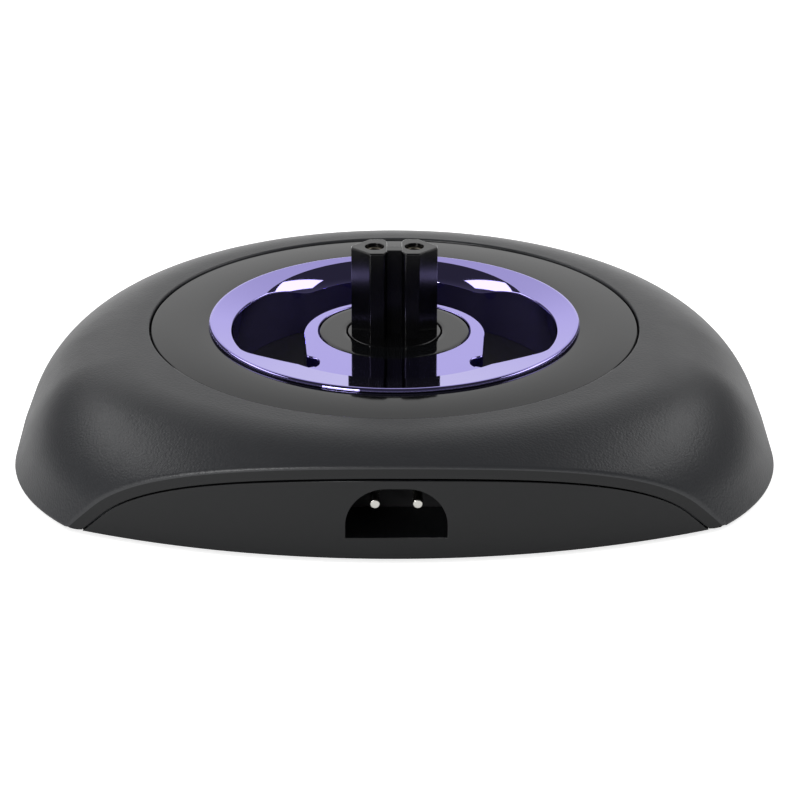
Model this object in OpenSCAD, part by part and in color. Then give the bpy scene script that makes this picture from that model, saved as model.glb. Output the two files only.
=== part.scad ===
// Shaver charging stand: a domed cover with a plated ring, a two-socket post and a D-shaped power inlet.
// Units are millimetres, +Z is up and the feet stand on z = 0. -Y is the inlet side.
// Plan positions in each module are measured from the ring axis, which at_axis() sets in the part's frame.

/* [Cover] */
// Half the width of the cover at its lower edge, also the radius of its round back
cover_half_w = 60; // [56:0.5:66]
// Height of the cover at the round seam, above its lower edge
cover_h = 17.5; // [16:0.1:19]
// Wall thickness of the cover
cover_wall = 2; // [1.6:0.1:2.4]
// Width of the cover's cut edge, seen round the front panel
lip_w = 2.1; // [1.8:0.1:2.6]
// Lean of the side wall from the vertical, in degrees
wall_lean = 20.5; // [17:0.5:24]
// Radius that rolls the side wall over into the crown
shoulder_r = 19.4; // [18:0.1:20]
// Slope of the crown towards the seam, in degrees
crown_slope = 2; // [1:0.5:4]
// Sideways distance of the front corners' centres, in squares of 1.386 mm
corner_squares = 14; // [12:1:16]
// Distance of the corner centres behind the front face
corner_setback = 38; // [36:0.5:40]
// Distance of the front face from the ring axis
front_depth = 51; // [49.5:0.5:54]
// Plan radius of the front face
front_r = 116; // [105:1:140]
// Radius of the round seam that the deck ring drops into
seam_r = 39.15; // [38.4:0.05:40]

/* [Deck ring] */
// Thickness of the deck ring
deck_t = 2; // [1.6:0.1:2.4]
// Depth of the deck's face below the cover's edge
deck_drop = 0.1; // [0:0.05:0.3]
// Radial width of the ledge that carries the deck ring
ledge_w = 2.3; // [1.8:0.1:3]
// Thickness of that ledge
ledge_t = 1.5; // [1.2:0.1:2]

/* [Bezel] */
// Outer radius of the plated bezel
bezel_r = 29.7; // [29.2:0.1:30.4]
// Height of the bezel above the deck ring
bezel_proud = 0.75; // [0.5:0.05:1.2]
// Thickness of the bezel's dish
bezel_t = 1.6; // [1.3:0.1:2]
// Width of the bezel's rounded top edge
bezel_edge = 0.5; // [0.3:0.05:0.6]
// Width of the overlap of the bezel on the deck ring
bezel_lap = 1.4; // [1.1:0.1:1.5]
// Radius where the bezel's slope meets the outer step line
dish_r = 22.4; // [21.5:0.1:23]
// Distance between the two step lines
step_gap = 2; // [1.5:0.1:2.5]
// Drop at each step line
step_drop = 0.2; // [0.05:0.01:0.25]
// Height of the central island below the bezel's top edge
island_drop = 2; // [1.7:0.1:2.3]

/* [Pocket] */
// Radius of the pocket's outer wall
pocket_r = 25.9; // [25.5:0.1:26.2]
// Distance of that wall's centre in front of the ring axis
pocket_fwd = 2.5; // [2:0.1:2.8]
// Radius of the pocket's inner wall round the island
island_r = 14.5; // [14.2:0.1:15]
// Distance of the island's centre in front of the ring axis
island_fwd = 1.2; // [0.8:0.1:1.4]
// Half width of the straight neck that joins the island to the dish
neck_half_w = 14.2; // [13.6:0.1:14.4]
// Depth of the pocket's floor below the bezel's top edge
pocket_depth = 9.7; // [9:0.1:10.2]
// Wall thickness of the pocket
pocket_wall = 1.2; // [1:0.1:1.4]
// Radius of the rounded front ends of the pocket
hook_r = 1.9; // [1.6:0.1:2.2]
// Sideways distance of those ends from the ring axis
hook_x = 13.6; // [13.2:0.1:14]
// Distance of those ends in front of the ring axis
hook_fwd = 14.4; // [14:0.1:15]
// Depth of the small step between those ends and the pocket's straight front edges
hook_tuck = 0.3; // [0.1:0.1:0.6]
// Slope of the pocket's straight front edges in plan, in degrees
front_edge_angle = 28; // [24:1:32]
// Radius of the scoop's upper edge behind the post
scoop_r = 22.2; // [21.8:0.1:22.6]
// Distance of the scoop's centre behind the ring axis
scoop_back = 5.7; // [5.2:0.1:6]
// Radius of the scoop's rounded lip
scoop_lip = 4.3; // [4:0.1:4.8]
// Slope of the lip where it leaves the dish, in degrees
scoop_start = 18; // [16:1:22]
// Slope of the lip where it ends at the pocket's wall, in degrees
scoop_end = 66; // [60:1:72]

/* [Post plate] */
// Radius of the round plate at the foot of the post
plate_r = 12; // [11.8:0.05:12.2]
// Thickness of the plate
plate_t = 1.6; // [1.4:0.1:1.8]
// Depth of the plate's face below the island
plate_drop = 0.1; // [0:0.05:0.2]
// Radial width of the ledge under the plate
plate_ledge = 2; // [1.6:0.1:2.4]

/* [Post] */
// Height of the post above the plate
post_h = 14.3; // [12:0.1:16]
// Distance between the two contact sockets, the same as the inlet pins
pitch = 6.3; // [6.1:0.05:6.5]
// Half the front-to-back depth of the post
post_half_d = 3.45; // [3.2:0.05:3.7]
// Distance from a socket's axis to the post's side edge
barrel_out = 3.7; // [3.5:0.05:4]
// Distance from a socket's axis to the groove between the barrels
barrel_in = 2; // [1.9:0.05:2.15]
// Half the thickness of the web that joins the barrels
web_half_t = 1.1; // [0.8:0.05:1.3]
// Drop of the web's top below the barrels
web_drop = 0.3; // [0.2:0.1:1]
// Width of the flat at each side edge of the post
side_flat = 1; // [0.6:0.1:1.4]
// Height of the chamfer beside the groove between the barrels, which is half as wide
groove_chamfer = 1; // [0.6:0.1:1.4]
// Radius of the post's round collar in the plate
collar_r = 7.45; // [7.4:0.05:7.6]
// Thickness of the flange under the plate
flange_t = 1.5; // [1.2:0.1:1.8]

/* [Contacts] */
// Radius of the socket mouth in the post
mouth_r = 1.5; // [1.4:0.05:1.6]
// Outer radius of a contact sleeve
sleeve_r = 1.42; // [1.3:0.02:1.46]
// Bore radius of a contact sleeve
sleeve_bore_r = 0.8; // [0.76:0.01:0.9]
// Depth of a sleeve's mouth below the post's top
sleeve_sunk = 0.5; // [0.3:0.1:1]
// Depth of a sleeve's bore
sleeve_bore_h = 11; // [9:0.5:13]
// Radius of the inlet pins
pin_r = 0.75; // [0.7:0.01:0.85]
// Radius of the tails behind the pins and below the contacts
tail_r = 0.5; // [0.4:0.01:0.54]

/* [Inlet] */
// Width of the D-shaped inlet
inlet_w = 15; // [14.6:0.1:15.6]
// Height of the inlet
inlet_h = 7.9; // [7.6:0.1:8.2]
// Corner radius of the inlet's arched top
inlet_top_r = 6; // [5.4:0.1:6.2]
// Height of the inlet's flat floor above the housing's lower edge
inlet_z = 3.4; // [3.2:0.1:3.6]
// Depth of the inlet behind the front face
inlet_depth = 11; // [9.5:0.5:11.5]
// Wall thickness of the inlet's tunnel
inlet_wall = 1.2; // [1:0.1:1.3]
// Height of the pins above the housing's lower edge
pin_z = 8.2; // [8:0.1:8.4]
// Depth of the pin tips behind the front face
pin_sunk = 1.6; // [1:0.1:2.5]
// Thickness of the insulator block behind the inlet
block_t = 5; // [4:0.5:5.5]
// Length of a pin's tail behind the insulator block
pin_tail = 3; // [2.5:0.5:4]

/* [Base] */
// Thickness of the base floor
floor_t = 2; // [1.6:0.1:2.4]
// Thickness of the base's front panel
panel_t = 2.2; // [1.8:0.1:2.6]
// Running gap between the cover and the base
base_gap = 0.25; // [0.15:0.05:0.35]
// Radius of the support pillars under the carrier
pillar_r = 2.5; // [2:0.1:3]
// Sideways distance of the pillars
pillar_x = 17; // [14:0.5:19]
// Distance of the front pillars before the ring axis, and of the back pillars behind it
pillar_y = 17; // [14:0.5:19]

/* [Carrier] */
// Width of the carrier plate outside the axes of the deck bosses
carrier_margin = 3.3; // [2.6:0.1:3.8]
// Thickness of the carrier plate
carrier_t = 1.5; // [1.3:0.1:1.8]
// Distance of the carrier's straight front edge from the ring axis
carrier_front = 25; // [24:0.5:26]
// Radius of the contact holder under the post's flange
holder_r = 9; // [8.5:0.1:9.3]
// Radius of the holder's spigot in the carrier plate
spigot_r = 5; // [4.8:0.1:6]
// Distance of the three deck bosses from the ring axis
deck_boss_pcd_r = 32.2; // [31.6:0.1:32.4]
// Sideways distance of the two bezel bosses
bezel_boss_x = 8; // [7:0.5:9]
// Distance of the bezel bosses in front of the ring axis
bezel_boss_fwd = 19; // [18.4:0.1:20]

/* [Screws] */
// Shank radius of the self-tapping screws
screw_r = 1.1; // [1:0.05:1.25]
// Head radius of the screws
screw_head_r = 2.2; // [2:0.05:2.4]
// Head height of the screws
screw_head_h = 1.2; // [1:0.1:1.4]
// Shank length of the screws
screw_len = 6; // [5:0.5:7]
// Depth of a screw's hole beyond the screw's end
screw_tip_gap = 0.5; // [0.3:0.1:0.6]
// Radius of the bosses that the screws bite into
boss_r = 2.7; // [2.5:0.1:3]
// Depth that a boss of the cover runs into the wall above it
boss_sink = 0.5; // [0.3:0.1:0.8]
// Sideways distance of the base screws
base_screw_x = 37; // [35:0.5:39]
// Distance of the base screws in front of and behind the ring axis
base_screw_y = 22; // [20:0.5:24]

/* [Feet] */
// Radius of a rubber foot
foot_r = 5; // [4:0.25:6]
// Thickness of a rubber foot
foot_t = 1.6; // [1.4:0.1:2]
// Height that a foot stands out below the housing
foot_proud = 0.8; // [0.6:0.1:1]
// Sideways distance of the feet
foot_x = 30; // [26:0.5:32]
// Distance of the front feet's centres behind the front face
foot_front_inset = 15; // [13:0.5:18]
// Distance of the back feet's centres inside the cover's round back
foot_back_inset = 10; // [9:0.5:13]

/* [Leads] */
// Outer radius of a lead
lead_r = 0.8; // [0.6:0.05:0.9]
// Bend radius of a lead
lead_bend = 2; // [1.4:0.1:2.1]
// Height of the leads' run above the base floor
lead_lift = 1.8; // [1.4:0.1:2.2]
// Straight length of a lead above its last bend
lead_rise = 1; // [0.5:0.5:2]
// Distance of the back clip on the base floor in front of the ring axis
clip_fwd = 8; // [6:0.5:10]
// Distance between the two clips
clip_pitch = 12; // [9:0.5:13]
// Length of a clip along the leads
clip_len = 2; // [1.5:0.5:3]
// Thickness of a clip's outer walls
clip_wall = 1; // [0.8:0.1:1.4]
// Outer radius of a heat-shrink sleeve
shrink_r = 1.1; // [1:0.05:1.15]
// Length of a heat-shrink sleeve
shrink_len = 4; // [3:0.5:5]

/* [Fits] */
// Radial clearance of parts that drop into a seat
seat_gap = 0.2; // [0.1:0.05:0.25]
// Clearance of parts that rest on or hang close to each other
rest_gap = 0.05; // [0.02:0.01:0.1]
// Radial clearance of pins and tails in their holes
pin_gap = 0.05; // [0.03:0.01:0.1]

/* [Hidden] */
$fn = 96;
// Size of the bodies that cut through the whole part, and how far a small cut runs past a face
far = 200;
over = 1;

// Plan: the ring axis lies off the origin, which is the middle of the cover's length
axis_y = (front_depth - cover_half_w) / 2;

// The corner arcs run into the front curve at 45 degrees, so their centres lie on a square's diagonal.
// The square's side and diagonal are exact in the six figures that an export keeps.
square_side = 1.386;
square_diagonal = 1.9601;
corner_x = corner_squares * square_side;
corner_fwd = front_depth - corner_setback;
corner_r = cover_half_w - corner_x;
nose_r = corner_r + corner_squares * square_diagonal;
nose_back = corner_x - corner_fwd;

// Cover profile: depth d runs inwards from the lower edge, height h runs up from it
wall_slope = 90 - wall_lean;
seam_d = cover_half_w - seam_r;
wall_h = (cover_h - shoulder_r * (cos(crown_slope) - cos(wall_slope))
    - (seam_d - shoulder_r * (sin(wall_slope) - sin(crown_slope))) * tan(crown_slope))
    / (1 - tan(crown_slope) / tan(wall_slope));
shoulder_d = wall_h / tan(wall_slope) + shoulder_r * sin(wall_slope);
shoulder_h = wall_h - shoulder_r * cos(wall_slope);
wall_d = wall_h / tan(wall_slope);
crown_d = shoulder_d - shoulder_r * sin(crown_slope);
shoulder_steps = 15;
shoulder_step_angle = (wall_slope - crown_slope) / shoulder_steps;
// Depth inwards of the swept band, which ends inside the deck ring's ledge on every side
band = max(seam_d, nose_r - nose_back - seam_r) + 2 * ledge_w;

function shoulder_point(inset, a) =
    [-shoulder_d + (shoulder_r - inset) * sin(a), shoulder_h + (shoulder_r - inset) * cos(a)];

function cover_height(d) =
    d < wall_d ? d * tan(wall_slope)
    : d < crown_d ? shoulder_h + sqrt(pow(shoulder_r, 2) - pow(shoulder_d - d, 2))
    : shoulder_h + shoulder_r * cos(crown_slope) + (d - crown_d) * tan(crown_slope);

// Arch of the front face: the height of the cover's surface over each x on that face
front_centre = [0, front_r - front_depth];
corner_centre = [corner_x, -corner_fwd];
to_front = front_centre - corner_centre;
front_span = norm(to_front);
corner_along = (pow(corner_r, 2) - pow(front_r, 2) + pow(front_span, 2)) / (2 * front_span);
corner_across = sqrt(pow(corner_r, 2) - pow(corner_along, 2));
arch_end_x = corner_centre[0] + (corner_along * to_front[0] + corner_across * to_front[1]) / front_span;
arch_steps = 14;
slope_probe = 0.05;

function front_y(x) = front_centre[1] - sqrt(pow(front_r, 2) - pow(x, 2));
function outline_depth(x, y) =
    x < nose_back - y
    ? nose_r - norm([x, y - nose_back])
    : corner_r - norm([x - corner_x, y + corner_fwd]);
function arch_height(x) = cover_height(outline_depth(abs(x), front_y(x)));
function arch_slope(x) =
    (arch_height(x + slope_probe) - arch_height(x - slope_probe)) / (2 * slope_probe);
function lip_point(x, width) =
    [x, arch_height(x)] + width * [arch_slope(x), -1] / norm([arch_slope(x), -1]);

// Heights above the ground
edge_z = foot_proud;
seam_z = edge_z + cover_h;
deck_z = seam_z - deck_drop;
deck_low_z = deck_z - deck_t;
bezel_z = deck_z + bezel_proud;
island_z = bezel_z - island_drop;
pocket_z = bezel_z - pocket_depth;
plate_z = island_z - plate_drop;
plate_low_z = plate_z - plate_t;
island_low_z = plate_low_z - rest_gap - bezel_t;
collar_z = plate_z - rest_gap;
post_top_z = plate_z + post_h;
flange_z = plate_low_z - rest_gap;
flange_low_z = flange_z - flange_t;
holder_z = flange_low_z - rest_gap;
carrier_z = pocket_z - rest_gap;
carrier_low_z = carrier_z - carrier_t;
floor_z = edge_z + floor_t;
inlet_low_z = edge_z + inlet_z;
inlet_pin_z = edge_z + pin_z;
lead_z = floor_z + lead_lift;
boss_foot_z = floor_z + rest_gap;
boss_end_z = seam_z - cover_wall + boss_sink;
base_screw_hole_z = edge_z + screw_head_h + screw_len + screw_tip_gap;
carrier_screw_z = carrier_low_z - rest_gap - screw_head_h;
carrier_screw_hole_z = carrier_screw_z + screw_head_h + screw_len + screw_tip_gap;

// Scoop: its edge circle lies on the dish, so its axis leans from the side points to the back point
function dish_height(r) = island_z + 2 * step_drop
    + (r - dish_r) * (bezel_z - island_z - 2 * step_drop) / (bezel_r - bezel_edge - dish_r);
scoop_side_z = dish_height(norm([scoop_r, scoop_back]));
scoop_tilt = atan((dish_height(scoop_back + scoop_r) - scoop_side_z) / scoop_r);
scoop_tube_r = scoop_r + scoop_lip * sin(scoop_start);
scoop_tube_z = -scoop_lip * cos(scoop_start);
scoop_wall_r = scoop_tube_r - scoop_lip * sin(scoop_end);

// Plan sizes that follow from neighbours
deck_hole_r = bezel_r - bezel_lap;
deck_outer_r = seam_r - seat_gap;
ledge_r = seam_r - ledge_w;
plate_seat_r = plate_r + seat_gap;
plate_ledge_r = plate_seat_r - plate_ledge;
plate_hole_r = collar_r + seat_gap;
flange_r = plate_ledge_r - seat_gap;
socket_x = pitch / 2;
inlet_end_y = -front_depth + inlet_depth;
block_back_y = inlet_end_y + block_t;
pin_tip_y = -front_depth + pin_sunk;
pin_end_y = block_back_y + pin_tail;
tail_low_z = lead_z + lead_bend + lead_rise;
tail_hole_r = shrink_r + seat_gap;
carrier_r = deck_boss_pcd_r + carrier_margin;
foot_fwd = front_depth - foot_front_inset;
foot_back = sqrt(pow(cover_half_w - foot_back_inset, 2) - pow(foot_x, 2));

module at_axis() {
    translate([0, axis_y, 0]) children();
}

module both_sides() {
    children();
    mirror([1, 0, 0]) children();
}

// Half section of the cover's solid, with x = 0 on the lower edge and -x inwards.
// inset shrinks it by a wall, low is the height of its foot and reach its depth inwards.
module cover_section(inset, low, reach) {
    wall_top = shoulder_point(inset, wall_slope);
    crown_start = shoulder_point(inset, crown_slope);
    wall_foot_x = wall_top[0] + (wall_top[1] - low) / tan(wall_slope);
    crown_end_h = crown_start[1] + (reach + crown_start[0]) * tan(crown_slope);
    polygon([[-reach, low], [wall_foot_x, low],
        for (i = [0:shoulder_steps]) shoulder_point(inset, wall_slope - i * shoulder_step_angle),
        [-reach, crown_end_h]]);
}

// Sweeps a half section round the whole plan, with the section's x = 0 on the outline
module sweep_plan() {
    both_sides() {
        rotate_extrude(angle = 90) translate([cover_half_w, 0]) children();
        translate([cover_half_w, 0, 0]) rotate([90, 0, 0]) linear_extrude(corner_fwd) children();
        translate([corner_x, -corner_fwd, 0]) mirror([0, 1, 0])
            rotate_extrude(angle = 45) translate([corner_r, 0]) children();
        translate([0, nose_back, 0]) rotate([0, 0, -90])
            rotate_extrude(angle = 45) translate([nose_r, 0]) children();
    }
}

module front_round(depth, height) {
    translate([0, front_r - front_depth, 0]) cylinder(r = front_r - depth, h = height);
}

// The front opening, width inside the arch, from the front face back to the given depth
module front_opening(width, depth, low) {
    difference() {
        translate([0, 0, edge_z]) rotate([90, 0, 0]) linear_extrude(far) intersection() {
            polygon([for (i = [-arch_steps:arch_steps]) lip_point(arch_end_x * i / arch_steps, width)]);
            translate([-far / 2, low]) square([far, far]);
        }
        front_round(depth, far);
    }
}

// Half section of the base floor's edge, which follows the inside of the cover's wall
module floor_section() {
    edge_x = -(cover_wall + base_gap) / sin(wall_slope);
    polygon([[-band, 0], [edge_x, 0], [edge_x - floor_t / tan(wall_slope), floor_t], [-band, floor_t]]);
}

module base_screw_places() {
    both_sides()
        for (y = [-base_screw_y, base_screw_y]) translate([base_screw_x, y, 0]) children();
}

module foot_places() {
    both_sides()
        for (y = [-foot_fwd, foot_back]) translate([foot_x, y, 0]) children();
}

module deck_boss_places() {
    for (a = [90, 210, 330]) rotate([0, 0, a]) translate([deck_boss_pcd_r, 0, 0]) children();
}

module bezel_boss_places() {
    both_sides() translate([bezel_boss_x, -bezel_boss_fwd, 0]) children();
}

// A screw with its head down at z = 0 and its shank up
module screw() {
    cylinder(r = screw_head_r, h = screw_head_h);
    cylinder(r = screw_r, h = screw_head_h + screw_len);
}

module top_cover() color("#3c3d40") at_axis() {
    difference() {
        union() {
            intersection() {
                translate([0, 0, edge_z]) difference() {
                    sweep_plan() cover_section(0, 0, band - over);
                    sweep_plan() cover_section(cover_wall, -over, band);
                }
                front_round(0, far);
            }
            translate([0, 0, deck_low_z - rest_gap - ledge_t])
                cylinder(r = seam_r + cover_wall, h = ledge_t + deck_t);
            base_screw_places() translate([0, 0, boss_foot_z])
                cylinder(r = boss_r, h = boss_end_z - boss_foot_z);
        }
        front_opening(lip_w, panel_t + base_gap, -far / 2);
        translate([0, 0, deck_low_z - rest_gap]) cylinder(r = seam_r, h = far);
        cylinder(r = ledge_r, h = far);
        base_screw_places() cylinder(r = screw_r, h = base_screw_hole_z);
    }
}

module deck_ring() color("#4a4b4d") at_axis() {
    difference() {
        union() {
            translate([0, 0, deck_low_z]) cylinder(r = deck_outer_r, h = deck_t);
            deck_boss_places() translate([0, 0, carrier_z + rest_gap])
                cylinder(r = boss_r, h = deck_low_z - carrier_z);
        }
        cylinder(r = deck_hole_r, h = far);
        deck_boss_places() cylinder(r = screw_r, h = carrier_screw_hole_z);
    }
}

// Plan of the crescent pocket, grown outwards by grow
module pocket_plan(grow) {
    edge_dir = [cos(front_edge_angle), -sin(front_edge_angle)];
    edge_out = [-sin(front_edge_angle), -cos(front_edge_angle)];
    edge_start = [-hook_x, -hook_fwd] + edge_out * (hook_r - hook_tuck + grow);
    edge_end = edge_start - edge_dir * pocket_r;
    difference() {
        union() {
            translate([0, -pocket_fwd]) circle(pocket_r + grow);
            translate([0, scoop_back]) circle(scoop_wall_r + grow);
        }
        translate([0, -island_fwd]) circle(island_r - grow);
        translate([-neck_half_w + grow, -far / 2]) square([2 * (neck_half_w - grow), far / 2 - island_fwd]);
        both_sides() polygon([edge_end, edge_start, [-neck_half_w + grow, -hook_fwd], [0, -hook_fwd],
            [0, -far], [-far, -far]]);
    }
    both_sides() translate([hook_x, -hook_fwd]) circle(hook_r + grow);
}

module bezel_dish() {
    step_r = dish_r - step_gap;
    rotate_extrude() difference() {
        polygon([[plate_ledge_r, island_low_z], [dish_r, island_low_z],
            [deck_hole_r - seat_gap, deck_z - bezel_t], [deck_hole_r - seat_gap, deck_z + rest_gap],
            [bezel_r, deck_z + rest_gap],
            [bezel_r, bezel_z - bezel_edge], [bezel_r - bezel_edge, bezel_z],
            [dish_r, island_z + 2 * step_drop], [dish_r - step_drop, island_z + step_drop],
            [step_r, island_z + step_drop], [step_r - step_drop, island_z], [plate_ledge_r, island_z]]);
        translate([0, plate_low_z - rest_gap]) square([plate_seat_r, far]);
    }
}

module bezel() color("#a79bdc") at_axis() {
    difference() {
        union() {
            bezel_dish();
            intersection() {
                translate([0, 0, pocket_z]) linear_extrude(island_z - bezel_t / 2 - pocket_z)
                    pocket_plan(pocket_wall);
                cylinder(r = deck_hole_r - seat_gap, h = far);
            }
            bezel_boss_places() translate([0, 0, pocket_z])
                cylinder(r = boss_r, h = island_low_z - pocket_z + bezel_t / 2);
        }
        translate([0, 0, pocket_z - over]) linear_extrude(far) pocket_plan(0);
        difference() {
            translate([0, scoop_back, scoop_side_z]) rotate([scoop_tilt, 0, 0])
                rotate_extrude() difference() {
                    translate([0, scoop_tube_z]) square([scoop_tube_r, far]);
                    translate([scoop_tube_r, scoop_tube_z]) circle(scoop_lip);
                }
            translate([0, -island_fwd, 0]) cylinder(r = island_r, h = far);
            translate([-far / 2, -far, 0]) cube([far, far + scoop_back, far]);
        }
        bezel_boss_places() cylinder(r = screw_r, h = carrier_screw_hole_z);
    }
}

module post_plate() color("#46474a") at_axis() {
    difference() {
        translate([0, 0, plate_low_z]) cylinder(r = plate_r, h = plate_t);
        cylinder(r = plate_hole_r, h = far);
    }
}

// Plan of one barrel of the post, on the +x side
module barrel_plan() {
    out_x = socket_x + barrel_out;
    in_x = socket_x - barrel_in;
    run = post_half_d - side_flat / 2;
    groove_x = in_x + groove_chamfer / 2;
    groove_y = post_half_d - groove_chamfer;
    polygon([[out_x, -side_flat / 2], [out_x - run, -post_half_d], [groove_x, -post_half_d],
        [in_x, -groove_y], [in_x, groove_y], [groove_x, post_half_d],
        [out_x - run, post_half_d], [out_x, side_flat / 2]]);
}

module connector_post() color("#17181a") at_axis() {
    difference() {
        union() {
            translate([0, 0, flange_low_z]) cylinder(r = flange_r, h = flange_t);
            translate([0, 0, flange_low_z]) cylinder(r = collar_r, h = collar_z - flange_low_z);
            translate([0, 0, flange_low_z]) linear_extrude(post_top_z - flange_low_z)
                both_sides() barrel_plan();
            translate([-socket_x, -web_half_t, flange_low_z])
                cube([pitch, 2 * web_half_t, post_top_z - web_drop - flange_low_z]);
        }
        both_sides() translate([socket_x, 0, 0]) cylinder(r = mouth_r, h = far);
    }
}

module contact() {
    sleeve_top = post_top_z - sleeve_sunk;
    difference() {
        translate([0, 0, flange_low_z]) cylinder(r = sleeve_r, h = sleeve_top - flange_low_z);
        translate([0, 0, sleeve_top - sleeve_bore_h]) cylinder(r = sleeve_bore_r, h = far);
    }
    translate([0, 0, tail_low_z]) cylinder(r = tail_r, h = flange_low_z - tail_low_z);
}

module contact_left() color("#c9b26a") at_axis() translate([-socket_x, 0, 0]) contact();

module contact_right() color("#c9b26a") at_axis() translate([socket_x, 0, 0]) contact();

// The holder carries the post's flange, and its spigot drops into the carrier plate
module contact_holder() color("#1c1c1e") at_axis() {
    difference() {
        union() {
            translate([0, 0, carrier_z + rest_gap]) cylinder(r = holder_r, h = holder_z - carrier_z - rest_gap);
            translate([0, 0, carrier_low_z]) cylinder(r = spigot_r, h = holder_z - carrier_low_z);
        }
        both_sides() translate([socket_x, 0, 0]) cylinder(r = tail_hole_r, h = far);
    }
}

module carrier() color("#1c1c1e") at_axis() {
    difference() {
        translate([0, 0, carrier_low_z]) cylinder(r = carrier_r, h = carrier_t);
        translate([-far / 2, -far - carrier_front, 0]) cube([far, far, far]);
        cylinder(r = spigot_r + seat_gap, h = far);
        deck_boss_places() cylinder(r = screw_r + seat_gap, h = far);
        bezel_boss_places() cylinder(r = screw_r + seat_gap, h = far);
    }
}

// Outline of the inlet, seen from the front, grown outwards by grow
module inlet_plan(grow) {
    half_w = inlet_w / 2 + grow;
    top_r = inlet_top_r + grow;
    side_h = inlet_h - inlet_top_r;
    intersection() {
        union() {
            for (s = [-1, 1]) translate([s * (half_w - top_r), side_h]) circle(top_r);
            translate([-half_w, -grow]) square([2 * half_w, side_h + grow]);
            translate([-half_w + top_r, -grow]) square([2 * (half_w - top_r), inlet_h + 2 * grow]);
        }
        translate([-half_w, -grow]) square([2 * half_w, inlet_h + 2 * grow]);
    }
}

module inlet_bar(grow, from_y, to_y) {
    translate([0, to_y, inlet_low_z]) rotate([90, 0, 0]) linear_extrude(to_y - from_y) inlet_plan(grow);
}

module base_housing() color("#2b2c2f") at_axis() {
    difference() {
        union() {
            intersection() {
                union() {
                    translate([0, 0, edge_z]) {
                        sweep_plan() floor_section();
                        cylinder(r = seam_r + over, h = floor_t);
                    }
                    front_opening(lip_w + base_gap, panel_t, 0);
                    inlet_bar(inlet_wall, -front_depth, block_back_y);
                }
                front_round(0, far);
            }
            both_sides() for (y = [-pillar_y, pillar_y]) translate([pillar_x, y, edge_z])
                cylinder(r = pillar_r, h = carrier_low_z - rest_gap - edge_z);
            lead_clips();
        }
        inlet_bar(0, -far, block_back_y);
        base_screw_places() {
            cylinder(r = screw_r + seat_gap, h = floor_z + over);
            cylinder(r = screw_head_r + seat_gap, h = edge_z + screw_head_h);
        }
        foot_places() cylinder(r = foot_r + seat_gap, h = foot_t + rest_gap);
    }
}

// Ribs on the base floor that hold the two leads
module lead_clips() {
    groove_r = lead_r + pin_gap;
    half_w = socket_x + groove_r + clip_wall;
    cut_len = clip_len + 2 * over;
    for (y = [-clip_fwd, -clip_fwd - clip_pitch]) difference() {
        translate([-half_w, y, edge_z]) cube([2 * half_w, clip_len, lead_z + lead_r / 2 - edge_z]);
        both_sides() translate([socket_x, y - over, lead_z]) {
            rotate([-90, 0, 0]) cylinder(r = groove_r, h = cut_len);
            translate([-groove_r, 0, 0]) cube([2 * groove_r, cut_len, far]);
        }
    }
}

module inlet_block() color("#101011") at_axis() {
    difference() {
        inlet_bar(-pin_gap, inlet_end_y, block_back_y);
        both_sides() translate([socket_x, block_back_y + over, inlet_pin_z])
            rotate([90, 0, 0]) cylinder(r = tail_r + pin_gap, h = block_t + 2 * over);
    }
}

// One inlet pin, round tipped, whose thinner tail runs through the block
module inlet_pin() {
    pin_run = inlet_end_y - pin_tip_y - pin_r;
    translate([0, inlet_end_y, inlet_pin_z]) rotate([90, 0, 0]) {
        cylinder(r = pin_r, h = pin_run);
        translate([0, 0, pin_run]) sphere(r = pin_r);
        translate([0, 0, inlet_end_y - pin_end_y]) cylinder(r = tail_r, h = pin_end_y - inlet_end_y);
    }
}

module inlet_pin_left() color("#d4d4d2") at_axis() translate([-socket_x, 0, 0]) inlet_pin();

module inlet_pin_right() color("#d4d4d2") at_axis() translate([socket_x, 0, 0]) inlet_pin();

// A quarter bend of a lead round the centre (y, z), from the start angle on
module lead_elbow(y, z, start) {
    translate([0, y, z]) rotate([90, 0, 90]) rotate([0, 0, start])
        rotate_extrude(angle = 90) translate([lead_bend, 0]) circle(lead_r, $fn = 32);
}

// A lead from the inlet pin's tail down to the base floor, along it and up to the contact's tail
module lead() {
    start_y = pin_end_y + rest_gap;
    flat_y = start_y + 2 * lead_bend;
    lead_elbow(start_y, inlet_pin_z - lead_bend, 0);
    translate([0, start_y + lead_bend, lead_z + lead_bend])
        cylinder(r = lead_r, h = inlet_pin_z - lead_z - 2 * lead_bend, $fn = 32);
    lead_elbow(flat_y, lead_z + lead_bend, 180);
    translate([0, flat_y, lead_z]) rotate([-90, 0, 0]) cylinder(r = lead_r, h = -lead_bend - flat_y, $fn = 32);
    lead_elbow(-lead_bend, lead_z + lead_bend, 270);
    translate([0, 0, lead_z + lead_bend])
        cylinder(r = lead_r, h = tail_low_z - rest_gap - lead_z - lead_bend, $fn = 32);
}

module lead_left() color("#b01e1e") at_axis() translate([-socket_x, 0, 0]) lead();

module lead_right() color("#1a1a1a") at_axis() translate([socket_x, 0, 0]) lead();

module shrink_tube(length) {
    difference() {
        cylinder(r = shrink_r, h = length);
        translate([0, 0, -over]) cylinder(r = lead_r + pin_gap, h = length + 2 * over);
    }
}

module heat_shrinks() color("#0f0f10") at_axis() both_sides() {
    translate([socket_x, 0, tail_low_z - shrink_len / 4]) shrink_tube(shrink_len);
    translate([socket_x, pin_end_y, inlet_pin_z]) rotate([90, 0, 0]) shrink_tube(pin_tail - rest_gap);
}

module base_screws() color("#9a9b9c") at_axis()
    base_screw_places() translate([0, 0, edge_z]) screw();

module carrier_screws() color("#9a9b9c") at_axis() {
    deck_boss_places() translate([0, 0, carrier_screw_z]) screw();
    bezel_boss_places() translate([0, 0, carrier_screw_z]) screw();
}

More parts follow.
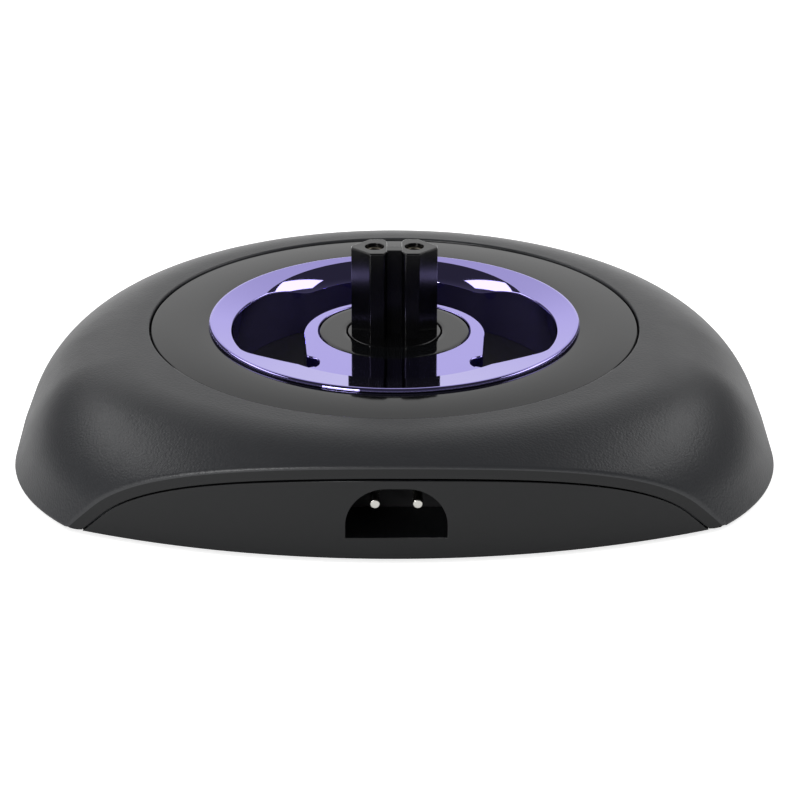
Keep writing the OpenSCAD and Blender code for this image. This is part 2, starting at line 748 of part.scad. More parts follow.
module foot(x, y) {
    translate([x, y, 0]) cylinder(r = foot_r, h = foot_t);
}

module foot_front_left() color("#26262a") at_axis() foot(-foot_x, -foot_fwd);

module foot_front_right() color("#26262a") at_axis() foot(foot_x, -foot_fwd);

module foot_back_left() color("#26262a") at_axis() foot(-foot_x, foot_back);

module foot_back_right() color("#26262a") at_axis() foot(foot_x, foot_back);

top_cover();
deck_ring();
bezel();
post_plate();
connector_post();
contact_left();
contact_right();
contact_holder();
carrier();
base_housing();
inlet_block();
inlet_pin_left();
inlet_pin_right();
lead_left();
lead_right();
heat_shrinks();
base_screws();
carrier_screws();
foot_front_left();
foot_front_right();
foot_back_left();
foot_back_right();
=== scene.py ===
"""Visual model of a shaver charging stand, dressed over its packed construction.

The stand is a low ABS dish with an arched front, a gloss ring let into its top and a violet
plated bezel round the connector post. Sizes are in millimetres about the ring axis, with x to
the right, y to the back and z up from the ground. The meshes are stored in metres.
"""

import sys
import logging
import math
from dataclasses import dataclass, replace
from enum import Enum
from typing import Callable, Sequence

import bmesh
import bpy
import numpy as np
from mathutils import Matrix, Vector
from mathutils.geometry import delaunay_2d_cdt


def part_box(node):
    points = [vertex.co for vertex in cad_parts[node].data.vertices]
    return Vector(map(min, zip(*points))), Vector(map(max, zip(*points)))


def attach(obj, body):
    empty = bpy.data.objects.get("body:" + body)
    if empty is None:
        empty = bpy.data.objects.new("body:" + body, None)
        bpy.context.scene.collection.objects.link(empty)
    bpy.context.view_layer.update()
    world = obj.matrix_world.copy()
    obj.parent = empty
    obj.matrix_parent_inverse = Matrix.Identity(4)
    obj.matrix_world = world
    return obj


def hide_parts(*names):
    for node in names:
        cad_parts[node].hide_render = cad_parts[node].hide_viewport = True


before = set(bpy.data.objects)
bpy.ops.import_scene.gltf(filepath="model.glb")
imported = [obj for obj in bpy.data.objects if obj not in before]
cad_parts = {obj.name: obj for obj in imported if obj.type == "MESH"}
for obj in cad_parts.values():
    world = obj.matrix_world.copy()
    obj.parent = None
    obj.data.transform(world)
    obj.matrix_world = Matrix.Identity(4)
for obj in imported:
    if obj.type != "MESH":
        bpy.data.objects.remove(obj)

Socket = bpy.types.NodeSocket
Tree = bpy.types.NodeTree

MM = 0.001
# Points of a mesh, and of a flat filling, that lie nearer than this are merged
MERGE_GAP = 0.002
FILL_GAP = MERGE_GAP / 4
# Edges that turn more than this stay sharp
SHARP_DEG = 35
# The most of a side that the rounding of its corner takes
EASE_SHARE = 0.8
# Faces round a wide turned piece, a bore and a boss
TURN_STEPS = 96
BORE_STEPS = 48
BOSS_STEPS = 32
QUARTER = math.tau / 4
UP = Vector((0, 0, 1))
FLAT = Vector((1, 1, 0))
MIRROR = Vector((-1, 1))
LOG = logging.getLogger("charging_stand")


def node_box(node: str) -> tuple[Vector, Vector]:
    """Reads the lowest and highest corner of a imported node, in millimetres."""
    low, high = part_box(node)
    return low / MM, high / MM


def linear(colour: str) -> tuple[float, float, float, float]:
    """Turns an sRGB hex colour into linear light.

    Args:
        colour: six hex digits after a #.

    Returns:
        Red, green and blue in linear light, and an alpha of 1.
    """
    parts = [int(colour[i:i + 2], 16) / 255 for i in (1, 3, 5)]
    red, green, blue = (p / 12.92 if p <= 0.04045 else ((p + 0.055) / 1.055) ** 2.4 for p in parts)
    return red, green, blue, 1.0


def add_node(tree: Tree, kind: str, inputs: dict | None = None,
             **settings: object) -> bpy.types.Node:
    """Adds a node with its settings, values and links.

    Args:
        tree: the shader or geometry tree that the node joins.
        kind: Blender's name for the node.
        inputs: a value or an output socket for each input's name or number.
        settings: properties of the node.

    Returns:
        The new node.
    """
    node = tree.nodes.new(kind)
    for name, value in settings.items():
        setattr(node, name, value)
    for key, value in (inputs or {}).items():
        if isinstance(value, Socket):
            tree.links.new(value, node.inputs[key])
        else:
            node.inputs[key].default_value = value
    return node


# Finishes


@dataclass(frozen=True)
class Finish:
    """A moulded or plated surface, and the grain that its making leaves."""

    name: str
    colour: str
    roughness: float = 0.4
    metallic: float = 0.0
    ior: float = 1.5
    mottle: float = 0.06
    mottle_mm: float = 9.0
    rough_spread: float = 0.03
    grain_mm: float = 0.4
    grain_depth_mm: float = 0.0
    speck_depth_mm: float = 0.0
    mottle_detail: float = 3.0
    mottle_rough: float = 0.55
    grain_detail: float = 2.0
    grain_rough: float = 0.6
    haze_ratio: float = 2.7
    speck_ratio: float = 0.7

    def material(self) -> bpy.types.Material:
        """Builds the material once and hands out the same one afterwards."""
        found = bpy.data.materials.get(self.name)
        return found or self.build()

    def build(self) -> bpy.types.Material:
        """Builds the material's nodes.

        Returns:
            A material with mottled colour, uneven roughness and the grain as bump.
        """
        material = bpy.data.materials.new(self.name)
        material.use_nodes = True
        tree = material.node_tree
        tree.nodes.clear()
        place = add_node(tree, "ShaderNodeTexCoord").outputs["Object"]
        base = linear(self.colour)
        cloud = add_node(tree, "ShaderNodeTexNoise", {
            "Vector": place, "Scale": 1 / (self.mottle_mm * MM),
            "Detail": self.mottle_detail, "Roughness": self.mottle_rough})
        tint = add_node(tree, "ShaderNodeMix", {
            0: cloud.outputs["Fac"],
            6: [channel * (1 - self.mottle) for channel in base[:3]] + [1.0],
            7: [min(1.0, channel * (1 + self.mottle)) for channel in base[:3]] + [1.0]},
            data_type="RGBA")
        haze = add_node(tree, "ShaderNodeTexNoise", {
            "Vector": place, "Scale": self.haze_ratio / (self.mottle_mm * MM), "Detail": 2.0})
        rough = add_node(tree, "ShaderNodeMapRange", {
            "Value": haze.outputs["Fac"],
            "To Min": max(0.0, self.roughness - self.rough_spread),
            "To Max": self.roughness + self.rough_spread})
        shader = add_node(tree, "ShaderNodeBsdfPrincipled", {
            "Base Color": tint.outputs[2], "Roughness": rough.outputs[0],
            "Metallic": self.metallic, "IOR": self.ior})
        bump = self.grain(tree, place)
        if bump is not None:
            tree.links.new(bump, shader.inputs["Normal"])
        add_node(tree, "ShaderNodeOutputMaterial", {"Surface": shader.outputs[0]})
        return material

    def grain(self, tree: Tree, place: Socket) -> Socket | None:
        """Adds the surface grain.

        Args:
            tree: the material's nodes.
            place: the object coordinates.

        Returns:
            The bumped normal, or None where the surface has no grain.
        """
        if not self.grain_depth_mm:
            return None
        fine = add_node(tree, "ShaderNodeTexNoise", {
            "Vector": place, "Scale": 1 / (self.grain_mm * MM),
            "Detail": self.grain_detail, "Roughness": self.grain_rough})
        bump = add_node(tree, "ShaderNodeBump", {
            "Height": fine.outputs["Fac"], "Strength": 1.0, "Distance": self.grain_depth_mm * MM})
        if self.speck_depth_mm:
            specks = add_node(tree, "ShaderNodeTexVoronoi", {
                "Vector": place, "Scale": self.speck_ratio / (self.grain_mm * MM)})
            bump = add_node(tree, "ShaderNodeBump", {
                "Height": specks.outputs["Distance"], "Normal": bump.outputs[0],
                "Strength": 1.0, "Distance": self.speck_depth_mm * MM}, invert=True)
        return bump.outputs[0]


# ABS moulded against a spark-eroded tool: dark and matt, with an even grit that glints at edges.
# Real grit is about 0.1 mm, too fine to show, so it is drawn three times as coarse
SPARKED_ABS = Finish("spark_textured_abs", "#27282b", roughness=0.38, ior=1.56, mottle=0.05,
                     grain_mm=0.3, grain_depth_mm=0.02, speck_depth_mm=0.02)
# The same ABS where the tool was only stoned, on the cover's cut edge: smooth, with a darker colour that
# is painted shade for the front-facing edge
STONED_ABS_PAINTED_SHADE = Finish("stoned_abs", "#0e0f11", roughness=0.36, ior=1.45, mottle=0.04,
                    grain_mm=0.5, grain_depth_mm=0.002)
# ABS moulded against a polished tool: a black mirror with faint flow marks
POLISHED_ABS = Finish("polished_black_abs", "#0b0c0e", roughness=0.08, ior=1.43, mottle=0.1,
                      mottle_mm=14, rough_spread=0.03, grain_mm=6, grain_depth_mm=0.004)
# Violet lacquer over electroplated chrome: a tinted mirror
VIOLET_CHROME = Finish("violet_chrome_plate", "#b1a7f0", roughness=0.05, metallic=1.0, mottle=0.03,
                       mottle_mm=12, rough_spread=0.02, grain_mm=5, grain_depth_mm=0.002)
# Glass-filled nylon from a polished tool: deep black with a tight gloss
POST_NYLON = Finish("black_nylon_gloss", "#08080a", roughness=0.16, ior=1.53, mottle=0.15,
                    rough_spread=0.04, grain_mm=1.5, grain_depth_mm=0.003)
# Phosphor bronze sleeve, bright tin over it, dulled by use
SLEEVE_BRONZE = Finish("bronze_sleeve", "#8d8578", roughness=0.3, metallic=1.0, mottle=0.2,
                       mottle_mm=1.0, grain_mm=0.2, grain_depth_mm=0.004)
# Unpainted black moulding of the inside: matt, a little grey where light reaches it
INNER_ABS = Finish("inner_black_abs", "#141416", roughness=0.7, ior=1.4, mottle=0.15,
                   grain_mm=0.6, grain_depth_mm=0.01)
# ABS base from a fine-blasted tool: satin charcoal with a barely visible grain
SATIN_ABS = Finish("satin_charcoal_abs", "#0e0f11", roughness=0.34, ior=1.45, mottle=0.05,
                   grain_mm=0.5, grain_depth_mm=0.004)
# Drawn nickel-plated steel: bright, with a trace of barrel marks
PIN_NICKEL = Finish("nickel_plate", "#d9d8d2", roughness=0.22, metallic=1.0, mottle=0.08,
                    mottle_mm=1.5, grain_mm=0.25, grain_depth_mm=0.003)
# Extruded PVC sheath, red and black
RED_SHEATH = Finish("red_pvc_sheath", "#a31c1c", roughness=0.4, mottle=0.1, mottle_mm=3,
                    grain_mm=0.8, grain_depth_mm=0.006)
BLACK_SHEATH = Finish("black_pvc_sheath", "#161617", roughness=0.4, mottle=0.1, mottle_mm=3,
                      grain_mm=0.8, grain_depth_mm=0.006)
# Polyolefin tube shrunk over a joint: semi-matt, slightly wrinkled
SHRINK_TUBE = Finish("polyolefin_shrink", "#0e0e0f", roughness=0.5, mottle=0.1,
                     grain_mm=0.7, grain_depth_mm=0.02)
# Zinc-plated steel screw: pale blue-grey, slightly dull
ZINC_STEEL = Finish("zinc_plated_steel", "#a3a8ad", roughness=0.3, metallic=1.0, mottle=0.12,
                    mottle_mm=2, grain_mm=0.3, grain_depth_mm=0.004)
# Compression-moulded silicone rubber: dark grey, dry, dusty
FOOT_RUBBER = Finish("silicone_rubber", "#2a2a2d", roughness=0.8, mottle=0.14, mottle_mm=3,
                     grain_mm=0.35, grain_depth_mm=0.02)


# Meshes


@dataclass(frozen=True)
class Corner:
    """A point of a surface, and the way the surface faces there."""

    at: Vector
    normal: Vector = Vector((0, 0, 0))


Strip = list[Corner]


def eased(before: Vector, corner: Vector, after: Vector, size: float, normal_in: Vector,
          normal_out: Vector, steps: int = 4) -> Strip:
    """Rounds a corner with a short curve.

    Args:
        before: the point that the surface comes from.
        corner: the sharp corner.
        after: the point that it goes on to.
        size: how far from the corner the curve starts and ends.
        normal_in: the way the surface before the corner faces.
        normal_out: the way the surface after it faces.
        steps: faces across the curve.

    Returns:
        The curve's corners, from the first surface to the second.
    """
    back, ahead = before - corner, after - corner
    start = corner + back.normalized() * min(size, EASE_SHARE * back.length)
    end = corner + ahead.normalized() * min(size, EASE_SHARE * ahead.length)
    strip = []
    for i in range(steps + 1):
        t = i / steps
        at = start * (1 - t) ** 2 + corner * (2 * t * (1 - t)) + end * t ** 2
        strip.append(Corner(at, (normal_in * (1 - t) + normal_out * t).normalized()))
    return strip


def section(corners: Sequence[tuple[float, float, float]], closed: bool = True) -> list[Strip]:
    """Turns a half section into strips, with its corners rounded.

    Args:
        corners: radius, height and rounding of each corner, with the solid on the left.
        closed: whether the last corner joins the first.

    Returns:
        One strip for each side and each rounded corner, in x and z.
    """
    points = [Vector((r, 0, z)) for r, z, _ in corners]
    sides = []
    count = len(points)
    for i in range(count if closed else count - 1):
        run = (points[(i + 1) % count] - points[i]).normalized()
        sides.append(Vector((run.z, 0, -run.x)))
    starts, ends, strips = list(points), list(points), []
    for i, (_, _, size) in enumerate(corners):
        if size and (closed or 0 < i < count - 1):
            after = points[(i + 1) % count]
            curve = eased(points[i - 1], points[i], after, size, sides[i - 1], sides[i])
            ends[i], starts[i] = curve[0].at, curve[-1].at
            strips.append(curve)
    for i, normal in enumerate(sides):
        strips.append([Corner(starts[i], normal), Corner(ends[(i + 1) % count], normal)])
    return strips


def level(z: float, normal: Vector) -> Callable[[Vector, Vector], Corner]:
    """Gives the lift that lays a filling level at one height.

    Args:
        z: the height.
        normal: the way the filling faces.

    Returns:
        A lift for MeshSketch.fill.
    """
    return lambda flat, _: Corner(flat.to_3d() + UP * z, normal)

def weld(name: str, mesh: bpy.types.Mesh) -> None:
    """Merges a mesh's doubled points, faces it outwards and smooths it between sharp edges.

    Args:
        name: the piece's name, for the log.
        mesh: its mesh.
    """
    body = bmesh.new()
    body.from_mesh(mesh)
    bmesh.ops.remove_doubles(body, verts=body.verts, dist=MERGE_GAP * MM)
    bmesh.ops.recalc_face_normals(body, faces=body.faces)
    open_edges = sum(not edge.is_manifold for edge in body.edges)
    body.to_mesh(mesh)
    body.free()
    LOG.info("%s: %d faces, %d open edges", name, len(mesh.polygons), open_edges)
    mesh.shade_smooth()
    mesh.set_sharp_from_angle(angle=math.radians(SHARP_DEG))

class MeshSketch:
    """Faces of closed surfaces, in millimetres about the ring axis, with a normal at each corner."""

    def __init__(self) -> None:
        """Starts an empty sketch."""
        self.faces: list[Strip] = []
        self.zones: list[int] = []
        self.zone = 0

    def face(self, corners: Sequence[Corner]) -> None:
        """Adds one face."""
        self.faces.append(list(corners))
        self.zones.append(self.zone)

    def loft(self, strips: Sequence[Strip], closed: bool = False) -> None:
        """Joins neighbouring strips of equal length with four-sided faces.

        Args:
            strips: the strips, side by side.
            closed: whether the last strip joins the first.
        """
        ahead = list(strips[1:]) + ([strips[0]] if closed else [])
        for one, two in zip(strips, ahead):
            for a, b, c, d in zip(one, one[1:], two[1:], two):
                self.face((a, b, c, d))

    def turn(self, strips: Sequence[Strip], x: float = 0, y: float = 0, steps: int = TURN_STEPS) -> None:
        """Turns strips of a half section round an upright axis.

        Args:
            strips: the strips, in x and z.
            x: place of the axis.
            y: place of the axis.
            steps: faces round the axis.
        """
        turns = [Matrix.Rotation(math.tau * i / steps, 3, "Z") for i in range(steps)]
        middle = Vector((x, y, 0))
        for strip in strips:
            self.loft([[Corner(middle + turn @ c.at, turn @ c.normal) for c in strip] for turn in turns],
                      closed=True)

    def fill(self, loops: Sequence[Sequence[Vector]], lift: Callable[[Vector, Vector], Corner],
             spare: Sequence[Vector] = (), ribs: Sequence[Sequence[Vector]] = ()) -> None:
        """Fills a flat region with triangles and lifts it into place.

        Args:
            loops: the outline, then the holes, in the flat.
            lift: gives the corner for a flat point and the middle of its triangle.
            spare: further points inside the region.
            ribs: open lines that triangles may not cross.
        """
        points: list[Vector] = []
        edges: list[tuple[int, int]] = []
        for loop in loops:
            first = len(points)
            points += [Vector(p[:2]) for p in loop]
            edges += [(first + i, first + (i + 1) % len(loop)) for i in range(len(loop))]
        for rib in ribs:
            first = len(points)
            points += [Vector(p[:2]) for p in rib]
            edges += [(first + i, first + i + 1) for i in range(len(rib) - 1)]
        points += [Vector(p[:2]) for p in spare]
        flat, _, triangles, *_ = delaunay_2d_cdt(points, edges, [], 0, FILL_GAP)
        middles = np.array([sum((flat[i] for i in t), Vector((0, 0))) / 3 for t in triangles])
        for triangle, middle, inside in zip(triangles, middles, odd_crossings(loops, middles)):
            if inside:
                self.face([lift(flat[i], Vector(middle)) for i in triangle])

    def to_object(self, name: str, *finishes: Finish) -> bpy.types.Object:
        """Turns the sketch into a mesh object.

        Args:
            name: the piece's name.
            finishes: the finish of each zone.

        Returns:
            The object, merged, closed and facing outwards.
        """
        corners = [corner for face in self.faces for corner in face]
        points = [(c.at.x * MM, (c.at.y + DATUM.axis_y) * MM, c.at.z * MM) for c in corners]
        ends = np.cumsum([len(face) for face in self.faces])
        faces = [tuple(range(end - len(face), end)) for face, end in zip(self.faces, ends)]
        mesh = bpy.data.meshes.new(name)
        mesh.from_pydata(points, [], faces)
        mesh.polygons.foreach_set("material_index", self.zones)
        facing = mesh.attributes.new("facing", "FLOAT_VECTOR", "CORNER")
        facing.data.foreach_set("vector", [v for c in corners for v in c.normal])
        weld(name, mesh)
        normals = np.zeros(len(mesh.loops) * 3)
        mesh.attributes["facing"].data.foreach_get("vector", normals)
        mesh.attributes.remove(mesh.attributes["facing"])
        mesh.normals_split_custom_set(normals.reshape(-1, 3).tolist())
        for finish in finishes:
            mesh.materials.append(finish.material())
        piece = bpy.data.objects.new(name, mesh)
        bpy.context.scene.collection.objects.link(piece)
        return piece


def odd_crossings(loops: Sequence[Sequence[Vector]], points: np.ndarray) -> np.ndarray:
    """Tells which points lie inside an odd number of loops.

    Args:
        loops: closed loops in the flat.
        points: rows of x and y.

    Returns:
        True for each point inside the region.
    """
    inside = np.zeros(len(points), bool)
    x, y = points[:, :1], points[:, 1:2]
    for loop in loops:
        start = np.array([p[:2] for p in loop])
        end = np.roll(start, -1, axis=0)
        spans = (start[:, 1] > y) != (end[:, 1] > y)
        rise = np.where(end[:, 1] == start[:, 1], 1, end[:, 1] - start[:, 1])
        cross = start[:, 0] + (y - start[:, 1]) * (end[:, 0] - start[:, 0]) / rise
        inside ^= (np.sum(spans & (x < cross), axis=1) % 2).astype(bool)
    return inside


def circle(radius: float, steps: int, x: float = 0, y: float = 0) -> list[Vector]:
    """Lays points round a circle in the flat."""
    return arc(Vector((x, y)), radius, 0, 360, steps)[:-1]


def arc(middle: Vector, radius: float, start_deg: float, end_deg: float, steps: int) -> list[Vector]:
    """Lays points along an arc in the flat.

    Args:
        middle: centre of the arc.
        radius: its radius.
        start_deg: angle of its first point, from the x axis.
        end_deg: angle of its last point.
        steps: spans between the points.

    Returns:
        The points, one more than the steps.
    """
    points = []
    for i in range(steps + 1):
        angle = math.radians(start_deg + (end_deg - start_deg) * i / steps)
        points.append(middle + Vector((math.cos(angle), math.sin(angle))) * radius)
    return points


def quarters(x: float, y: float) -> list[tuple[float, float]]:
    """Gives the four places that lie x and y either way from the ring axis."""
    return [(side_x, side_y) for side_x in (-x, x) for side_y in (-y, y)]

def resampled(path: Sequence[Vector], spacing: float) -> list[Vector]:
    """Spaces points evenly along an open path, about the given distance apart.

    Args:
        path: its points.
        spacing: the distance.

    Returns:
        The new points, with both ends.
    """
    runs = np.cumsum([0] + [(b - a).length for a, b in zip(path, path[1:])])
    marks = np.linspace(0, runs[-1], max(2, round(runs[-1] / spacing)) + 1)
    sides = [np.interp(marks, runs, [p[axis] for p in path]) for axis in (0, 1)]
    return [Vector(p) for p in zip(*sides)]


@dataclass(frozen=True)
class Datum:
    """Places that the sub-assemblies share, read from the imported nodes."""

    axis_y: float
    half_width: float
    front: float
    edge_z: float
    deck_z: float
    deck_r: float
    bezel_z: float
    bezel_r: float
    pocket_z: float
    plate_z: float
    plate_low_z: float
    plate_r: float
    post_top_z: float
    flange_low_z: float
    flange_r: float

    @classmethod
    def from_frame(cls) -> "Datum":
        """Reads the nodes' boxes.

        Returns:
            The heights and radii that the pieces share.
        """
        cover_low, cover_high = node_box("top_cover")
        deck_low, deck_high = node_box("deck_ring")
        bezel_low, bezel_high = node_box("bezel")
        plate_low, plate_high = node_box("post_plate")
        post_low, post_high = node_box("connector_post")
        axis_y = (deck_low.y + deck_high.y) / 2
        return cls(
            axis_y=axis_y, half_width=cover_high.x, front=axis_y - cover_low.y, edge_z=cover_low.z,
            deck_z=deck_high.z, deck_r=deck_high.x, bezel_z=bezel_high.z, bezel_r=bezel_high.x,
            pocket_z=bezel_low.z, plate_z=plate_high.z, plate_low_z=plate_low.z, plate_r=plate_high.x,
            post_top_z=post_high.z, flange_low_z=post_low.z, flange_r=post_high.x)


DATUM = Datum.from_frame()


def keep(piece: bpy.types.Object, slot: str, *nodes: str) -> bpy.types.Object:
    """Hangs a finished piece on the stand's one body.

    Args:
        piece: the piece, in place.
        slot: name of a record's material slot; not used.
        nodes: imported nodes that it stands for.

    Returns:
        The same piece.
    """
    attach(piece, "root")
    if nodes:
        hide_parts(*nodes)
    return piece


# Cover


@dataclass(frozen=True)
class Station:
    """A line across the plan, square to the cover's outline."""

    middle: Vector
    radius: float
    heading: Vector

    def at(self, depth: float) -> Vector:
        """Gives the point at a depth inwards from the outline."""
        return self.middle + self.heading * (self.radius - depth)

    def depth_of(self, middle: Vector, radius: float) -> float:
        """Gives the depth at which the line meets a circle.

        Args:
            middle: the circle's centre.
            radius: its radius.

        Returns:
            The depth inwards from the outline, negative outside it.
        """
        offset = self.middle - middle
        along = offset.dot(self.heading)
        return self.radius + along - math.sqrt(along ** 2 - offset.length_squared + radius ** 2)


@dataclass
class TopCover:
    """The textured cover: a swept shell with an arched front and a seat for the gloss ring."""

    height: float = 17.5
    wall_lean: float = 20.5
    shoulder_r: float = 19.4
    crown_slope: float = 2.0
    # The corner arcs' centre, and what the nose arc adds to their radius: 14 squares of the plan
    corner_x: float = 19.404
    corner_setback: float = 38.0
    nose_extra: float = 27.4414
    front_r: float = 116.0
    seam_gap: float = 0.2
    ledge_w: float = 2.3
    ledge_top_z: float = 16.15
    ledge_t: float = 1.5
    wall: float = 2.0
    lip_w: float = 2.1
    foot_w: float = 1.0
    arch_ease: float = 0.5
    seam_ease: float = 0.5
    boss_r: float = 2.7
    boss_bore_r: float = 1.1
    boss_x: float = 37.0
    boss_y: float = 22.0
    boss_low_z: float = 2.85
    front_wall: float = 0.8
    ease_reach: float = 0.4
    lip_ease: float = 0.2
    boss_ease: float = 0.2
    boss_sink: float = 0.5
    least_cut: float = 1e-4
    probe: float = 0.05
    nose_deg: float = -45.0
    back_steps: int = 60
    side_steps: int = 6
    corner_steps: int = 36
    arch_steps: int = 6
    nose_steps: int = 50
    outer_steps: int = 40
    inner_steps: int = 14

    def __post_init__(self) -> None:
        """Works out the plan's arcs and the profile's tangent points."""
        self.reach = DATUM.half_width
        self.corner_fwd = DATUM.front - self.corner_setback
        self.corner_r = self.reach - self.corner_x
        self.nose_r = self.corner_r + self.nose_extra
        self.corner = Vector((self.corner_x, -self.corner_fwd))
        self.nose = Vector((0, self.corner_x - self.corner_fwd))
        self.front_middle = Vector((0, self.front_r - DATUM.front))
        self.seam_r = DATUM.deck_r + self.seam_gap
        self.seam_d = self.reach - self.seam_r
        lean, crown = math.radians(90 - self.wall_lean), math.radians(self.crown_slope)
        self.lean, self.crown = lean, crown
        rise = self.shoulder_r * (math.cos(crown) - math.cos(lean))
        run = self.seam_d - self.shoulder_r * (math.sin(lean) - math.sin(crown))
        lift = self.height - rise - run * math.tan(crown)
        self.wall_h = lift / (1 - math.tan(crown) / math.tan(lean))
        self.shoulder_d = self.wall_h / math.tan(lean) + self.shoulder_r * math.sin(lean)
        self.shoulder_h = self.wall_h - self.shoulder_r * math.cos(lean)

    def surface(self, depth: float, inset: float = 0) -> tuple[float, float]:
        """Gives the shell's surface above the lower edge.

        Args:
            depth: distance inwards from the outline.
            inset: how far inside the outer surface.

        Returns:
            The height, and the rise per millimetre inwards.
        """
        radius = self.shoulder_r - inset
        wall_d = self.shoulder_d - radius * math.sin(self.lean)
        wall_h = self.shoulder_h + radius * math.cos(self.lean)
        crown_d = self.shoulder_d - radius * math.sin(self.crown)
        if depth < wall_d:
            return wall_h - (wall_d - depth) * math.tan(self.lean), math.tan(self.lean)
        if depth < crown_d:
            up = math.sqrt(radius ** 2 - (self.shoulder_d - depth) ** 2)
            return self.shoulder_h + up, (self.shoulder_d - depth) / up
        crown_h = self.shoulder_h + radius * math.cos(self.crown)
        return crown_h + (depth - crown_d) * math.tan(self.crown), math.tan(self.crown)

    def foot_depth(self, inset: float) -> float:
        """Gives the depth at which an inset surface reaches the lower edge."""
        return inset / math.sin(self.lean)

    def front_y(self, x: float) -> float:
        """Gives the front face's place at a distance from the middle."""
        return self.front_middle.y - math.sqrt(self.front_r ** 2 - x ** 2)

    def arch(self, x: float) -> float:
        """Gives the height at which the outer surface meets the front face.

        Args:
            x: the distance from the middle, either way.

        Returns:
            The height above the lower edge.
        """
        x = abs(x)
        y = self.front_y(x)
        if x < self.nose.y - y:
            depth = self.nose_r - (Vector((x, y)) - self.nose).length
        else:
            depth = self.corner_r - (Vector((x, y)) - self.corner).length
        return self.surface(depth)[0]

    def under_arch(self, x: float, width: float) -> Vector:
        """Steps square from the arch down the front face, at most to the lower edge.

        Args:
            x: where on the arch.
            width: how far below the arch.

        Returns:
            x and height above the lower edge.
        """
        slope = (self.arch(x + self.probe) - self.arch(x - self.probe)) / (2 * self.probe)
        down = Vector((slope, -1)).normalized()
        top = self.arch(x)
        step = min(width, max(0.0, top / -down.y))
        return Vector((x, top)) + down * step

    def arch_end_deg(self) -> float:
        """Gives the corner arc's angle at which the front face starts."""
        to_front = self.front_middle - self.corner
        span = to_front.length
        along = (self.corner_r ** 2 - self.front_r ** 2 + span ** 2) / (2 * span)
        across = math.sqrt(self.corner_r ** 2 - along ** 2)
        unit = to_front / span
        end = unit * along + Vector((unit.y, -unit.x)) * across
        return math.degrees(math.atan2(end.y, end.x))

    def stations(self) -> list[Station]:
        """Lays stations round the whole plan, from the back over the right to the front and home."""
        def fan(middle: Vector, radius: float, start: float, end: float, steps: int) -> list[Station]:
            """Lays stations along an arc of the plan."""
            return [Station(middle, radius, v) for v in arc(Vector((0, 0)), 1, start, end, steps)]

        end = self.arch_end_deg()
        half = fan(Vector((0, 0)), self.reach, 90, 0, self.back_steps)
        half += [Station(Vector((0, -self.corner_fwd * i / self.side_steps)), self.reach, Vector((1, 0)))
                 for i in range(1, self.side_steps)]
        half += fan(self.corner, self.corner_r, 0, end, self.corner_steps)
        half += fan(self.corner, self.corner_r, end, self.nose_deg, self.arch_steps)[1:]
        half += fan(self.nose, self.nose_r, self.nose_deg, -90, self.nose_steps)[1:]
        other = [Station(s.middle * MIRROR, s.radius, s.heading * MIRROR) for s in reversed(half[1:-1])]
        return half + other

    def strips(self, station: Station) -> list[Strip]:
        """Cuts the shell at one station.

        Args:
            station: where to cut.

        Returns:
            The closed section's strips, from the arch or lower edge round and back.
        """
        edge_z = DATUM.edge_z
        heading = station.heading.to_3d()

        def lifted(depth: float, inset: float = 0) -> Vector:
            """Gives the surface's point at a depth.

            Args:
                depth: the depth.
                inset: how far it lies inside.

            Returns:
                The point.
            """
            point = station.at(depth).to_3d()
            point.z = edge_z + self.surface(depth, inset)[0]
            return point

        def facing(depth: float) -> Vector:
            """Gives the way the surface faces at a depth."""
            return (heading * self.surface(depth)[1] + UP).normalized()

        start = max(0.0, station.depth_of(self.front_middle, self.front_r))
        cut = start > self.least_cut
        seam = station.depth_of(Vector((0, 0)), self.seam_r)
        edge, rim = lifted(start), lifted(seam)
        inner = max(self.foot_depth(self.wall),
                    station.depth_of(self.front_middle, self.front_r - self.front_wall))
        inner_point = lifted(inner, self.wall)
        if cut:
            x, high = self.under_arch(edge.x, self.lip_w)
            lip = Vector((x, self.front_y(x), edge_z + high))
            face = (edge - self.front_middle.to_3d()) * FLAT
        else:
            lip = station.at(self.foot_w).to_3d() + UP * edge_z
            face = -UP
        face.normalize()
        arch = eased(lip, edge, lifted(start + self.ease_reach), self.arch_ease, face, facing(start))
        radial = (rim * FLAT).normalized()
        ledge_top = radial * self.seam_r + UP * self.ledge_top_z
        seam_edge = eased(lifted(seam - self.ease_reach), rim, ledge_top, self.seam_ease,
                          facing(seam), -radial)
        depths = self.outer_depths(start + self.arch_ease, seam - self.seam_ease)
        outer = [Corner(lifted(d), facing(d)) for d in depths]
        outer[0], outer[-1] = Corner(arch[-1].at, facing(start)), Corner(seam_edge[0].at, facing(seam))
        ledge_r = self.seam_r - self.ledge_w
        ledge = [ledge_top, radial * ledge_r + UP * self.ledge_top_z,
                 radial * ledge_r + UP * (self.ledge_top_z - self.ledge_t),
                 radial * (self.seam_r + self.wall) + UP * (self.ledge_top_z - self.ledge_t)]
        inner_end = station.depth_of(Vector((0, 0)), self.seam_r + self.wall)
        inside = [Corner(lifted(d, self.wall)) for d in np.linspace(inner_end, inner, self.inner_steps)]
        under = eased(inner_point, lip, edge, self.lip_ease, (face - heading).normalized(), face)
        return [arch, outer, seam_edge, [Corner(seam_edge[-1].at, -radial), Corner(ledge_top, -radial)],
                [Corner(p) for p in ledge], [Corner(ledge[-1]), inside[0]], inside,
                [Corner(inner_point), Corner(under[0].at)], under,
                [Corner(under[-1].at, face), Corner(arch[0].at, face)]]

    def outer_depths(self, start: float, end: float) -> list[float]:
        """Spaces depths evenly along the outer surface.

        Args:
            start: the first depth.
            end: the last depth.

        Returns:
            The depths.
        """
        depths = np.linspace(start, end, 5 * self.outer_steps)
        heights = [self.surface(d)[0] for d in depths]
        runs = np.cumsum([0] + list(np.hypot(np.diff(depths), np.diff(heights))))
        return list(np.interp(np.linspace(0, runs[-1], self.outer_steps + 1), runs, depths))

